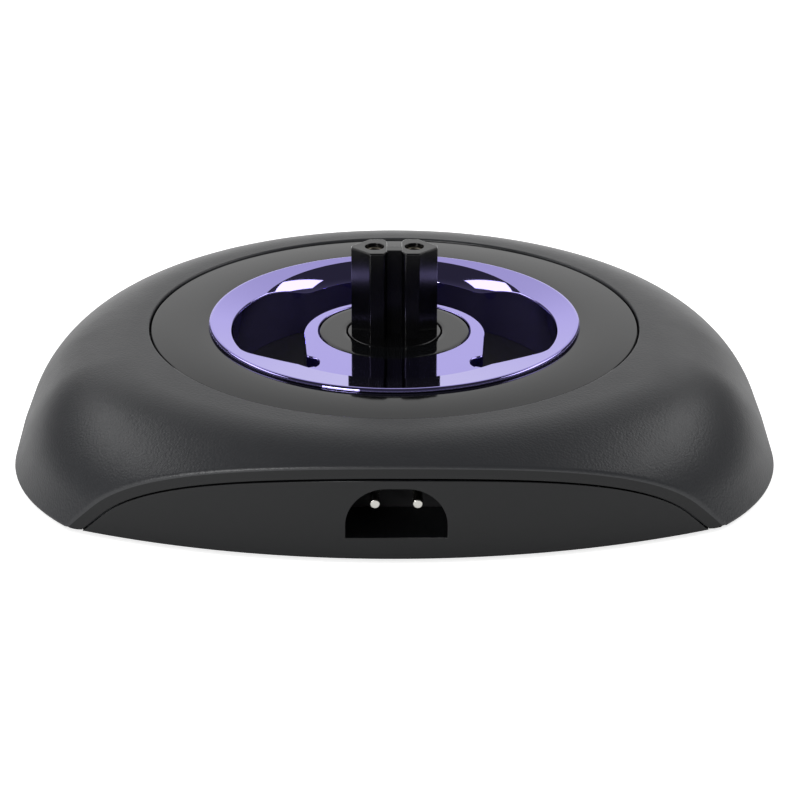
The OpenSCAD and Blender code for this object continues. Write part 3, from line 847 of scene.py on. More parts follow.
    def build(self) -> bpy.types.Object:
        """Builds the cover, with its smooth cut edge and four screw bosses."""
        sketch = MeshSketch()
        cuts = [self.strips(station) for station in self.stations()]
        # The front face and its lower rounding take the stoned finish, whose darker colour is painted
        # shade
        smooth_painted_shade_from = len(cuts[0]) - 2
        for i, strips in enumerate(zip(*cuts)):
            sketch.zone = int(i >= smooth_painted_shade_from)
            sketch.loft(strips, closed=True)
        sketch.zone = 0
        top = DATUM.edge_z + self.height - self.wall + self.boss_sink
        tube = section([(self.boss_bore_r, self.boss_low_z, 0),
                        (self.boss_r, self.boss_low_z, self.boss_ease),
                        (self.boss_r, top, 0), (self.boss_bore_r, top, 0)])
        for place in quarters(self.boss_x, self.boss_y):
            sketch.turn(tube, *place, BOSS_STEPS)
        cover = sketch.to_object("cover_shell", SPARKED_ABS, STONED_ABS_PAINTED_SHADE)
        return keep(cover, "textured_abs", "top_cover")


# Gloss ring and post plate


def grown(name: str, tree: Tree, values: dict[str, object]) -> bpy.types.Object:
    """Grows a mesh from a geometry tree.

    Args:
        name: the piece's name.
        tree: the tree.
        values: a value for each named input.

    Returns:
        A plain mesh object, merged and smooth between its sharp edges.
    """
    seed = bpy.data.objects.new(name, bpy.data.meshes.new(name))
    bpy.context.scene.collection.objects.link(seed)
    modifier = seed.modifiers.new("grow", "NODES")
    modifier.node_group = tree
    for item in tree.interface.items_tree:
        if item.in_out == "INPUT" and item.name in values:
            modifier[item.identifier] = values[item.name]
    flatten(seed)
    weld(name, seed.data)
    weigh = seed.modifiers.new("weigh", "WEIGHTED_NORMAL")
    weigh.keep_sharp = True
    flatten(seed)
    return seed


def flatten(piece: bpy.types.Object) -> None:
    """Turns a piece's modifiers into its own mesh.

    Args:
        piece: the piece's object.
    """
    bpy.context.view_layer.update()
    result = bpy.data.meshes.new_from_object(piece.evaluated_get(bpy.context.evaluated_depsgraph_get()))
    piece.modifiers.clear()
    piece.data = result


def open_tree(name: str, inputs: dict[str, str]) -> tuple[Tree, dict[str, Socket]]:
    """Starts a geometry tree with named inputs.

    Args:
        name: the tree's name.
        inputs: the socket type of each input.

    Returns:
        The tree, and each input's socket by name.
    """
    tree = bpy.data.node_groups.new(name, "GeometryNodeTree")
    tree.interface.new_socket("Geometry", in_out="OUTPUT", socket_type="NodeSocketGeometry")
    for label, kind in inputs.items():
        tree.interface.new_socket(label, in_out="INPUT", socket_type=kind)
    source = add_node(tree, "NodeGroupInput")
    return tree, {label: source.outputs[label] for label in inputs}


def close_tree(tree: Tree, shape: Socket,
               material: Socket) -> Tree:
    """Ends a geometry tree with real meshes in one material.

    Args:
        tree: the tree.
        shape: the geometry so far.
        material: the material's socket.

    Returns:
        The same tree.
    """
    real = add_node(tree, "GeometryNodeRealizeInstances", {"Geometry": shape})
    dressed = add_node(tree, "GeometryNodeSetMaterial", {
        "Geometry": real.outputs[0], "Material": material})
    add_node(tree, "NodeGroupOutput", {0: dressed.outputs[0]})
    return tree


def combined(tree: Tree, kind: str, one: object, two: object) -> Socket:
    """Adds a sum and gives its result."""
    return add_node(tree, "ShaderNodeMath", {0: one, 1: two}, operation=kind).outputs[0]

def eased_step(tree: Tree, value: Socket, span: Sequence[float], low: float = 0.0,
               high: float = 1.0) -> Socket:
    """Adds a soft step.

    Args:
        tree: the shader tree.
        value: what the step depends on.
        span: where it starts and ends.
        low: the result before it.
        high: the result after it.

    Returns:
        The result's socket.
    """
    return add_node(tree, "ShaderNodeMapRange", {
        "Value": value, "From Min": span[0], "From Max": span[1], "To Min": low, "To Max": high},
        interpolation_type="SMOOTHSTEP").outputs[0]


def ring_tree() -> Tree:
    """Builds the tree of a flat turned ring that stands on tubular bosses.

    Returns:
        A tree whose inputs are the ring's and the bosses' sizes, in metres.
    """
    sizes = ("Outer Radius", "Hole Radius", "Top", "Thickness", "Edge Radius", "Axis Y", "Crown Radius",
             "Outer Drop", "Inner Drop", "Boss Radius", "Boss Bore", "Boss Height", "Boss Circle")
    kinds = {size: "NodeSocketFloat" for size in sizes}
    kinds |= {count: "NodeSocketInt" for count in ("Segments", "Bosses", "Profile Cuts")}
    kinds["Finish"] = "NodeSocketMaterial"
    tree, value = open_tree("turned_ring", kinds)

    def tube(outer: Socket, inner: Socket, height: Socket,
             steps: Socket | int, cuts: Socket | int) -> Socket:
        """Adds a tube with rounded edges, its middle at the origin.

        Args:
            outer: its outer radius.
            inner: its inner radius.
            height: its height.
            steps: faces round it.
            cuts: cuts in each side of its profile.

        Returns:
            The tube's socket.
        """
        width = combined(tree, "SUBTRACT", outer, inner)
        middle = combined(tree, "MULTIPLY", combined(tree, "ADD", outer, inner), 0.5)
        profile = add_node(tree, "GeometryNodeCurvePrimitiveQuadrilateral",
                           {"Width": width, "Height": height}, mode="RECTANGLE")
        soft = add_node(tree, "GeometryNodeFilletCurve", {
            "Curve": profile.outputs[0], "Count": 4, "Radius": value["Edge Radius"]}, mode="POLY")
        cut = add_node(tree, "GeometryNodeSubdivideCurve", {"Curve": soft.outputs[0], "Cuts": cuts})
        path = add_node(tree, "GeometryNodeCurvePrimitiveCircle",
                        {"Resolution": steps, "Radius": middle}, mode="RADIUS")
        return add_node(tree, "GeometryNodeCurveToMesh", {
            "Curve": path.outputs[0], "Profile Curve": cut.outputs[0]}).outputs[0]

    def crowned(shape: Socket) -> Socket:
        """Lowers the top towards both edges.

        Args:
            shape: the turned ring.

        Returns:
            The crowned ring's socket.
        """
        place = add_node(tree, "GeometryNodeInputPosition").outputs[0]
        height = add_node(tree, "ShaderNodeSeparateXYZ", {0: place}).outputs["Z"]
        flat = add_node(tree, "ShaderNodeVectorMath", {0: place, 1: (1, 1, 0)}, operation="MULTIPLY")
        length = add_node(tree, "ShaderNodeVectorMath", {0: flat.outputs[0]}, operation="LENGTH")
        radius = length.outputs["Value"]
        drops = []
        for edge, drop in (("Outer Radius", "Outer Drop"), ("Hole Radius", "Inner Drop")):
            share = add_node(tree, "ShaderNodeMapRange", {
                "Value": radius, "From Min": value["Crown Radius"], "From Max": value[edge]}).outputs[0]
            drops.append(combined(tree, "MULTIPLY", combined(tree, "POWER", share, 2.0), value[drop]))
        upward = combined(tree, "ADD", combined(tree, "DIVIDE", height, value["Thickness"]), 0.5)
        lowered = combined(tree, "MULTIPLY", combined(tree, "ADD", *drops), upward)
        shift = add_node(tree, "ShaderNodeCombineXYZ", {"Z": combined(tree, "MULTIPLY", lowered, -1.0)})
        return add_node(tree, "GeometryNodeSetPosition", {
            "Geometry": shape, "Offset": shift.outputs[0]}).outputs[0]

    def raised(shape: Socket, height: Socket) -> Socket:
        """Moves a shape to the ring axis and up."""
        shift = add_node(tree, "ShaderNodeCombineXYZ", {"Y": value["Axis Y"], "Z": height})
        return add_node(tree, "GeometryNodeTransform",
                        {"Geometry": shape, "Translation": shift.outputs[0]}).outputs[0]

    ring = crowned(tube(value["Outer Radius"], value["Hole Radius"], value["Thickness"],
                        value["Segments"], value["Profile Cuts"]))
    half = combined(tree, "MULTIPLY", value["Thickness"], 0.5)
    ring = raised(ring, combined(tree, "SUBTRACT", value["Top"], half))
    spots = add_node(tree, "GeometryNodeMeshCircle", {
        "Vertices": value["Bosses"], "Radius": value["Boss Circle"]})
    quarter = add_node(tree, "GeometryNodeTransform", {
        "Geometry": spots.outputs[0], "Rotation": (0, 0, QUARTER)})
    boss = tube(value["Boss Radius"], value["Boss Bore"], value["Boss Height"], BORE_STEPS, 1)
    stood = add_node(tree, "GeometryNodeInstanceOnPoints", {
        "Points": quarter.outputs[0], "Instance": boss})
    below = combined(tree, "SUBTRACT", value["Top"], value["Thickness"])
    bosses = raised(stood.outputs[0], combined(
        tree, "SUBTRACT", below, combined(tree, "MULTIPLY", value["Boss Height"], 0.5)))
    joined = add_node(tree, "GeometryNodeJoinGeometry")
    tree.links.new(ring, joined.inputs[0])
    tree.links.new(bosses, joined.inputs[0])
    return close_tree(tree, joined.outputs[0], value["Finish"])


@dataclass(frozen=True)
class GlossRings:
    """The deck ring round the bezel and the plate round the post."""

    deck_hole_r: float = 28.3
    deck_t: float = 2.0
    deck_ease: float = 0.3
    deck_crown_r: float = 31.2
    deck_crown: float = 0.15
    deck_outer_drop: float = 0.34
    boss_r: float = 2.7
    boss_bore_r: float = 1.1
    boss_circle_r: float = 32.2
    boss_low_z: float = 9.25
    plate_hole_r: float = 7.65
    plate_ease: float = 0.25
    segments: int = 192
    cuts: int = 5

    def build(self) -> list[bpy.types.Object]:
        """Builds both rings from one tree."""
        tree = ring_tree()
        boss_h = DATUM.deck_z - self.deck_t - self.boss_low_z
        shared = {"Axis Y": DATUM.axis_y * MM, "Segments": self.segments, "Profile Cuts": self.cuts,
                  "Boss Radius": self.boss_r * MM, "Boss Bore": self.boss_bore_r * MM,
                  "Boss Circle": self.boss_circle_r * MM, "Finish": POLISHED_ABS.material()}
        deck = grown("gloss_deck_ring", tree, shared | {
            "Outer Radius": DATUM.deck_r * MM, "Hole Radius": self.deck_hole_r * MM,
            "Top": (DATUM.deck_z + self.deck_crown) * MM,
            "Thickness": (self.deck_t + self.deck_crown) * MM,
            "Edge Radius": self.deck_ease * MM, "Crown Radius": self.deck_crown_r * MM,
            "Outer Drop": self.deck_outer_drop * MM, "Inner Drop": self.deck_crown * MM,
            "Boss Height": boss_h * MM, "Bosses": 3})
        plate = grown("gloss_post_plate", tree, shared | {
            "Outer Radius": DATUM.plate_r * MM, "Hole Radius": self.plate_hole_r * MM,
            "Top": DATUM.plate_z * MM, "Thickness": (DATUM.plate_z - DATUM.plate_low_z) * MM,
            "Edge Radius": self.plate_ease * MM, "Crown Radius": self.plate_hole_r * MM,
            "Outer Drop": 0.0, "Inner Drop": 0.0,
            "Boss Height": MM, "Bosses": 0})
        return [keep(deck, "gloss_abs", "deck_ring"), keep(plate, "gloss_abs", "post_plate")]


# Bezel


@dataclass(frozen=True)
class PocketPoint:
    """A point of the pocket's wall, seen from above."""

    wall: Vector
    out: Vector
    run: Vector
    wall_t: float
    scooped: bool = False

    @property
    def lip(self) -> Vector:
        """Where the rounded lip meets the plate's top."""
        return self.wall + self.run

    def blended(self, other: "PocketPoint", share: float) -> "PocketPoint":
        """Gives the point a share of the way to another one."""
        return PocketPoint(
            self.wall.lerp(other.wall, share), self.out.lerp(other.out, share).normalized(),
            self.run.lerp(other.run, share), self.wall_t + (other.wall_t - self.wall_t) * share,
            self.scooped)


@dataclass
class Bezel:
    """The violet plated bezel: a shallow dish with a crescent pocket round the post's island."""

    island_drop: float = 2.0
    step_drop: float = 0.2
    rim_slope_deg: float = 10.0
    dish_r: float = 22.4
    step_gap: float = 2.0
    rim_ease: float = 0.6
    seat_r: float = 12.2
    seat_z: float = 15.2
    seat_hole_r: float = 10.2
    seat_ease: float = 0.25
    skirt_r: float = 28.1
    skirt_z: float = 16.6
    under_z: float = 13.6
    flange_z: float = 18.32
    pocket_r: float = 25.9
    pocket_fwd: float = 2.5
    corner_ease: float = 3.5
    front_edge_deg: float = 20.0
    hook_x: float = 14.4
    hook_fwd: float = 13.8
    hook_r: float = 2.6
    beak_r: float = 0.6
    beak_x: float = 13.9
    neck_w: float = 14.35
    island_r: float = 14.5
    island_fwd: float = 1.2
    scoop_r: float = 22.2
    scoop_back: float = 5.7
    scoop_lip: float = 5.85
    scoop_start_deg: float = 26.0
    scoop_end_deg: float = 62.0
    scoop_blend: float = 0.5
    lip_r: float = 0.4
    lip_w: float = 0.3
    outer_wall_t: float = 0.9
    inner_wall_t: float = 0.4
    boss_x: float = 8.0
    boss_fwd: float = 19.0
    boss_r: float = 2.7
    boss_bore_r: float = 1.1
    spacing: float = 0.4
    scoop_steps: int = 14
    lip_steps: int = 8
    boss_sink: float = 0.8
    flange_ease: float = 0.1
    overrun: float = 4.0
    kept: float = 1.5
    least_spare: float = 0.1
    on_ring: float = 1e-4
    wall_blends: int = 6
    wall_steps: int = 200
    corner_steps: int = 24
    hook_steps: int = 60
    beak_steps: int = 16
    island_steps: int = 120
    ring_steps: int = 256
    rib_steps: int = 60
    spare_rings: int = 6
    spare_steps: int = 160
    spare_inset: float = 0.9
    spare_gap: float = 0.3

    def __post_init__(self) -> None:
        """Works out the dish's profile and the scoop's circles."""
        self.scoop_middle = Vector((0, self.scoop_back))
        self.tube_r = self.scoop_r + self.scoop_lip * math.sin(math.radians(self.scoop_start_deg))
        self.scoop_wall_r = self.tube_r - self.scoop_lip * math.sin(math.radians(self.scoop_end_deg))
        island_z = DATUM.bezel_z - self.island_drop
        step_r = self.dish_r - self.step_gap
        drop = self.step_drop
        rim_r = DATUM.bezel_r - self.rim_ease
        rim_foot_z = DATUM.bezel_z - (rim_r - self.dish_r) * math.tan(math.radians(self.rim_slope_deg))
        self.knots = [(self.seat_r, island_z), (step_r - drop, island_z), (step_r, island_z + drop),
                      (self.dish_r - drop, island_z + drop), (self.dish_r, rim_foot_z),
                      (rim_r, DATUM.bezel_z)]
        self.scoop_side_z = self.height(math.hypot(self.scoop_r, self.scoop_back))
        back_z = self.height(self.scoop_r + self.scoop_back)
        self.scoop_rise = (back_z - self.scoop_side_z) / self.scoop_r

    def slope(self, radius: float) -> float:
        """Gives the plate's rise per millimetre outwards."""
        for (r0, z0), (r1, z1) in zip(self.knots, self.knots[1:]):
            if radius < r1:
                return (z1 - z0) / (r1 - r0)
        return 0.0

    def height(self, radius: float) -> float:
        """Gives the plate's height at a radius."""
        return float(np.interp(radius, *zip(*self.knots)))

    def facing(self, point: Vector, slope: float) -> Vector:
        """Gives the way a cone of the given slope faces over a point."""
        out = point.to_3d().normalized()
        return (UP - out * slope).normalized()

    def half_pocket(self) -> tuple[list[Vector], int]:
        """Lays the pocket's wall on the right, from the back round to the island's back.

        Returns:
            The points, and how many of them lie on the outer wall and the front edge.
        """
        middle = Vector((0, -self.pocket_fwd))
        hook = Vector((self.hook_x, -self.hook_fwd))
        tilt = math.radians(self.front_edge_deg)
        along = Vector((math.cos(tilt), math.sin(tilt)))
        below = Vector((along.y, -along.x))
        touch = hook + below * self.hook_r
        inner_start = touch - below * self.corner_ease - middle
        reach = self.pocket_r - self.corner_ease
        step = -inner_start.dot(along) + math.sqrt(
            inner_start.dot(along) ** 2 - inner_start.length_squared + reach ** 2)
        ease_middle = middle + inner_start + along * step
        outward = (ease_middle - middle).normalized()
        corner_deg = math.degrees(math.atan2(outward.y, outward.x))
        edge_deg = math.degrees(math.atan2(below.y, below.x))
        wall = [self.widened(p) for p in arc(middle, self.pocket_r, 90, corner_deg, self.wall_steps)]
        corner = arc(ease_middle, self.corner_ease, corner_deg, edge_deg, self.corner_steps)
        outer = wall + corner[1:] + [touch]
        beak = Vector((self.beak_x - self.beak_r, 0))
        beak.y = hook.y + math.sqrt((self.hook_r + self.beak_r) ** 2 - (beak.x - hook.x) ** 2)
        to_beak = beak - hook
        beak_deg = math.degrees(math.atan2(to_beak.y, to_beak.x))
        island = Vector((0, -self.island_fwd))
        neck_deg = -math.degrees(math.acos(self.neck_w / self.island_r))
        inner = arc(hook, self.hook_r, edge_deg, beak_deg - 360, self.hook_steps)[1:]
        inner += arc(beak, self.beak_r, beak_deg - 180, 0, self.beak_steps)[1:]
        inner += arc(island, self.island_r, neck_deg, 90, self.island_steps)
        outer = resampled(outer, self.spacing)
        return outer + resampled([outer[-1]] + inner, self.spacing)[1:], len(outer)

    def widened(self, point: Vector) -> Vector:
        """Moves a point of the pocket's circle out to the scoop's wall, where that lies further out.

        Args:
            point: the point on the pocket's circle.

        Returns:
            The point on the wall, eased where the two circles cross.
        """
        out = point.normalized()
        along = out.dot(self.scoop_middle)
        wall = along + math.sqrt(along ** 2 - self.scoop_back ** 2 + self.scoop_wall_r ** 2)
        gap = math.hypot(point.length - wall, self.scoop_blend)
        cut = self.scoop_blend * min(1.0, self.scoop_blend / gap)
        return out * (point.length + wall + gap - cut) / 2

    def scoop_run(self, wall: Vector, out: Vector) -> Vector | None:
        """Gives the way from the wall's top across the scoop to its edge.

        Args:
            wall: the point on the pocket's wall.
            out: the way out of the pocket there.

        Returns:
            The run in the flat, or None where the scoop doesn't reach.
        """
        arm = wall - self.scoop_middle
        start = math.sin(math.radians(self.scoop_start_deg))
        spare = self.scoop_r - self.lip_r * (1 - start) - arm.length
        if spare < self.least_spare or wall.y < self.scoop_back:
            return None
        way = out.lerp(arm.normalized(), min(1.0, spare)).normalized()
        along = arm.dot(way)
        return way * (math.sqrt(along ** 2 - arm.length_squared + self.scoop_r ** 2) - along)

    def pocket(self) -> list[PocketPoint]:
        """Lays the whole pocket's wall, with its lip and wall widths.

        Returns:
            The closed loop, with a point wherever the lip crosses a step of the dish.
        """
        half, outer_count = self.half_pocket()
        loop = half + [p * MIRROR for p in reversed(half[1:-1])]
        count = len(loop)
        thick = [self.outer_wall_t if min(i, count - i) < outer_count else self.inner_wall_t
                 for i in range(count)]
        for _ in range(self.wall_blends):
            thick = [(thick[i - 1] + 2 * thick[i] + thick[(i + 1) % count]) / 4 for i in range(count)]
        points = []
        for i, point in enumerate(loop):
            ahead = (loop[(i + 1) % count] - loop[i - 1]).normalized()
            out = Vector((-ahead.y, ahead.x))
            run = self.scoop_run(point, out) if min(i, count - i) < outer_count else None
            points.append(PocketPoint(point, out, run or out * self.lip_w, thick[i], run is not None))
        rings = [r for r, _ in self.knots[1:-1]]
        closed = []
        for here, there in zip(points, points[1:] + points[:1]):
            closed.append(here)
            start, end = here.lip.length, there.lip.length
            crossed = [r for r in rings if min(start, end) < r < max(start, end)]
            for r in sorted(crossed, reverse=start > end):
                between = here.blended(there, (r - start) / (end - start))
                shift = between.lip * (r / between.lip.length - 1)
                closed.append(replace(between, wall=between.wall + shift))
        return closed

    def scoop_strip(self, point: PocketPoint) -> Strip:
        """Runs down the scoop and over its foot into the pocket at one point of its wall.

        Args:
            point: the point of the wall.

        Returns:
            The strip, from the plate's top down to the wall.
        """
        arm = point.wall - self.scoop_middle
        way = point.run.normalized()
        along = arm.dot(way)
        start = math.radians(self.scoop_start_deg)
        inset = (self.tube_r - self.lip_r - arm.length) / (self.scoop_lip - self.lip_r)
        foot = math.asin(min(1.0, inset))
        middle_z = self.scoop_side_z - self.scoop_lip * math.cos(start)
        strip = []
        for i in range(self.scoop_steps + 1):
            share = i / self.scoop_steps
            tilt = start + (foot - start) * share
            reach = self.tube_r - self.scoop_lip * math.sin(tilt)
            step = math.sqrt(along ** 2 - arm.length_squared + reach ** 2) - along
            flat = point.wall + way * step
            at = flat.to_3d()
            rise = self.scoop_rise * (flat.y - self.scoop_back)
            at.z = middle_z + self.scoop_lip * math.cos(tilt) + rise
            if not i:
                lift = self.height(flat.length) - at.z
            at.z += lift * (1 - share)
            inward = (self.scoop_middle - flat).normalized().to_3d()
            normal = UP * math.cos(tilt) + inward * math.sin(tilt) - Vector((0, self.scoop_rise, 0))
            strip.append(Corner(at, normal.normalized()))
        last, out = strip[-1], point.out.to_3d()
        for i in range(1, self.lip_steps + 1):
            tilt = foot + (QUARTER - foot) * i / self.lip_steps
            share = (math.sin(tilt) - math.sin(foot)) / (1 - math.sin(foot))
            at = last.at.lerp(point.wall.to_3d() + UP * last.at.z, share)
            at.z = last.at.z - self.lip_r * (math.cos(foot) - math.cos(tilt))
            strip.append(Corner(at, last.normal.lerp(-out, i / self.lip_steps).normalized()))
        return strip

    def lip_strip(self, point: PocketPoint) -> Strip:
        """Rounds the plate over into the pocket at one point of its wall.

        Args:
            point: the point of the wall.

        Returns:
            The strip, from the plate's top down to the wall.
        """
        if point.scooped:
            return self.scoop_strip(point)
        lip = point.lip
        slope = self.slope(lip.length)
        top = self.facing(lip, slope)
        lean = math.atan(slope * lip.normalized().dot(point.out))
        radius = point.run.length / (1 - math.sin(lean))
        out = point.out.to_3d()
        high = lip.to_3d() + UP * self.height(lip.length)
        strip = []
        steps = self.scoop_steps + self.lip_steps
        for i in range(steps + 1):
            turn = (QUARTER - lean) * i / steps
            tilt = lean + turn
            at = high - out * radius * (math.sin(tilt) - math.sin(lean))
            at -= UP * radius * (math.cos(lean) - math.cos(tilt))
            normal = top * math.sin(QUARTER - tilt) - out * math.sin(turn)
            strip.append(Corner(at, normal.normalized()))
        return strip

    def under_height(self, radius: float) -> float:
        """Gives the underside's height at a radius."""
        return float(np.interp(radius, (self.dish_r, self.skirt_r), (self.under_z, self.skirt_z)))

    def build(self) -> bpy.types.Object:
        """Builds the bezel as one closed shell."""
        sketch = MeshSketch()
        pocket = self.pocket()
        lips = [self.lip_strip(point) for point in pocket]
        sketch.loft(lips, closed=True)
        walls, backs = [], []
        for point, lip in zip(pocket, lips):
            out = point.out.to_3d()
            foot = point.wall.to_3d() + UP * DATUM.pocket_z
            back = point.wall + point.out * point.wall_t
            rise = back.to_3d() + UP * self.under_height(back.length)
            walls.append([Corner(lip[-1].at, -out), Corner(foot, -out)])
            backs.append([Corner(foot), Corner(back.to_3d() + UP * DATUM.pocket_z), Corner(rise)])
        sketch.loft(walls, closed=True)
        sketch.loft(backs, closed=True)
        self.add_plate(sketch, pocket)
        # The bore and the rim run on past their rounding, so that it isn't cut short, and the part
        # of them that lies on the plate's top is left out
        bore = section([(self.seat_r + self.overrun * self.seat_ease, self.knots[0][1], 0),
                        (self.seat_r, self.knots[0][1], self.seat_ease),
                        (self.seat_r, self.seat_z, 0), (self.seat_hole_r, self.seat_z, 0),
                        (self.seat_hole_r, self.under_z, 0)], closed=False)
        sketch.turn([strip for strip in bore if strip[0].at.x < self.seat_r + self.kept * self.seat_ease],
                    steps=self.ring_steps)
        rim_r, rim_z = DATUM.bezel_r, DATUM.bezel_z
        rim = section([(self.skirt_r, self.skirt_z, 0), (self.skirt_r, self.flange_z, 0),
                       (rim_r, self.flange_z, self.flange_ease), (rim_r, rim_z, self.rim_ease),
                       (rim_r - self.overrun * self.rim_ease, rim_z, 0)], closed=False)
        sketch.turn([strip for strip in rim if strip[-1].at.x > rim_r - self.kept * self.rim_ease
                     or strip[0].at.z < rim_z - self.rim_ease], steps=self.ring_steps)
        boss_top = self.under_z + self.boss_sink
        tube = section([(self.boss_bore_r, DATUM.pocket_z, 0), (self.boss_r, DATUM.pocket_z, 0),
                        (self.boss_r, boss_top, 0), (self.boss_bore_r, boss_top, 0)])
        for x in (-self.boss_x, self.boss_x):
            sketch.turn(tube, x, -self.boss_fwd, BOSS_STEPS)
        bezel = sketch.to_object("violet_bezel", VIOLET_CHROME)
        return keep(bezel, "violet_plate", "bezel")

    def add_plate(self, sketch: MeshSketch, pocket: Sequence[PocketPoint]) -> None:
        """Fills the plate's top and underside round the pocket.

        Args:
            sketch: the bezel's sketch.
            pocket: the pocket's wall.
        """
        lip = [point.lip for point in pocket]
        outer_r = DATUM.bezel_r - self.rim_ease
        inner_r = self.seat_r + self.seat_ease
        ribs = []
        for radius, _ in self.knots[1:-1]:
            crossings = [p for p in lip if abs(p.length - radius) < self.on_ring]
            right, left = max(crossings, key=lambda p: p.x), min(crossings, key=lambda p: p.x)
            start = math.degrees(math.atan2(left.y, left.x)) % 360
            end = math.degrees(math.atan2(right.y, right.x)) % 360
            rib = arc(Vector((0, 0)), radius, start, end, self.rib_steps)
            ribs.append([left] + rib[1:-1] + [right])
        # Rings of spare points keep the sloping rim's triangles small; no two have points in line
        spare = []
        inset = self.spare_inset
        rings = np.linspace(self.dish_r + inset, outer_r - inset, self.spare_rings)
        for i, radius in enumerate(rings):
            spare += circle(radius, self.spare_steps + i)
        lip_line = np.array([p[:] for p in lip])
        spare = [p for p in spare if np.min(np.hypot(*(lip_line - np.array(p)).T)) > self.spare_gap]
        outside = ~odd_crossings([lip], np.array([p[:] for p in spare]))
        spare = [p for p, keep_it in zip(spare, outside) if keep_it]

        def top(flat: Vector, middle: Vector) -> Corner:
            """Lifts a point to the plate's top."""
            return Corner(flat.to_3d() + UP * self.height(flat.length),
                          self.facing(flat, self.slope(middle.length)))

        def under(flat: Vector, middle: Vector) -> Corner:
            """Lifts a point to the plate's underside."""
            return Corner(flat.to_3d() + UP * self.under_height(flat.length))

        edges = [circle(outer_r, self.ring_steps), circle(inner_r, self.ring_steps)]
        sketch.fill([*edges, lip], top, spare, ribs)
        back = [point.wall + point.out * point.wall_t for point in pocket]
        edges = [circle(self.skirt_r, self.ring_steps), circle(self.seat_hole_r, self.ring_steps)]
        sketch.fill([*edges, back], under)


# Connector post


def rounded_loop(corners: Sequence[Vector], radius: float, spacing: float = 0.12,
                 side_spacing: float = 0.3) -> Strip:
    """Rounds the corners of a convex outline.

    Args:
        corners: the outline in the flat, anticlockwise.
        radius: radius of each corner.
        spacing: distance between points on the corners.
        side_spacing: distance between points on the straight sides.

    Returns:
        The closed outline's corners, facing outwards.
    """
    loop = []
    count = len(corners)
    for i, corner in enumerate(corners):
        back = (corners[i - 1] - corner).normalized()
        ahead = (corners[(i + 1) % count] - corner).normalized()
        half = back.angle(ahead) / 2
        middle = corner + (back + ahead).normalized() * (radius / math.sin(half))
        normal_in, normal_out = Vector((-back.y, back.x)), Vector((ahead.y, -ahead.x))
        turn = math.pi - 2 * half
        steps = max(2, round(turn * radius / spacing))
        for k in range(steps + 1):
            normal = (normal_in * (1 - k / steps) + normal_out * (k / steps)).normalized()
            loop.append(Corner((middle + normal * radius).to_3d(), normal.to_3d()))
        run = (corners[(i + 1) % count] - corner).length - 2 * radius
        spans = max(1, round(run / side_spacing))
        last = loop[-1]
        loop += [Corner(last.at + ahead.to_3d() * (run * k / spans), last.normal)
                 for k in range(1, spans)]
    return loop


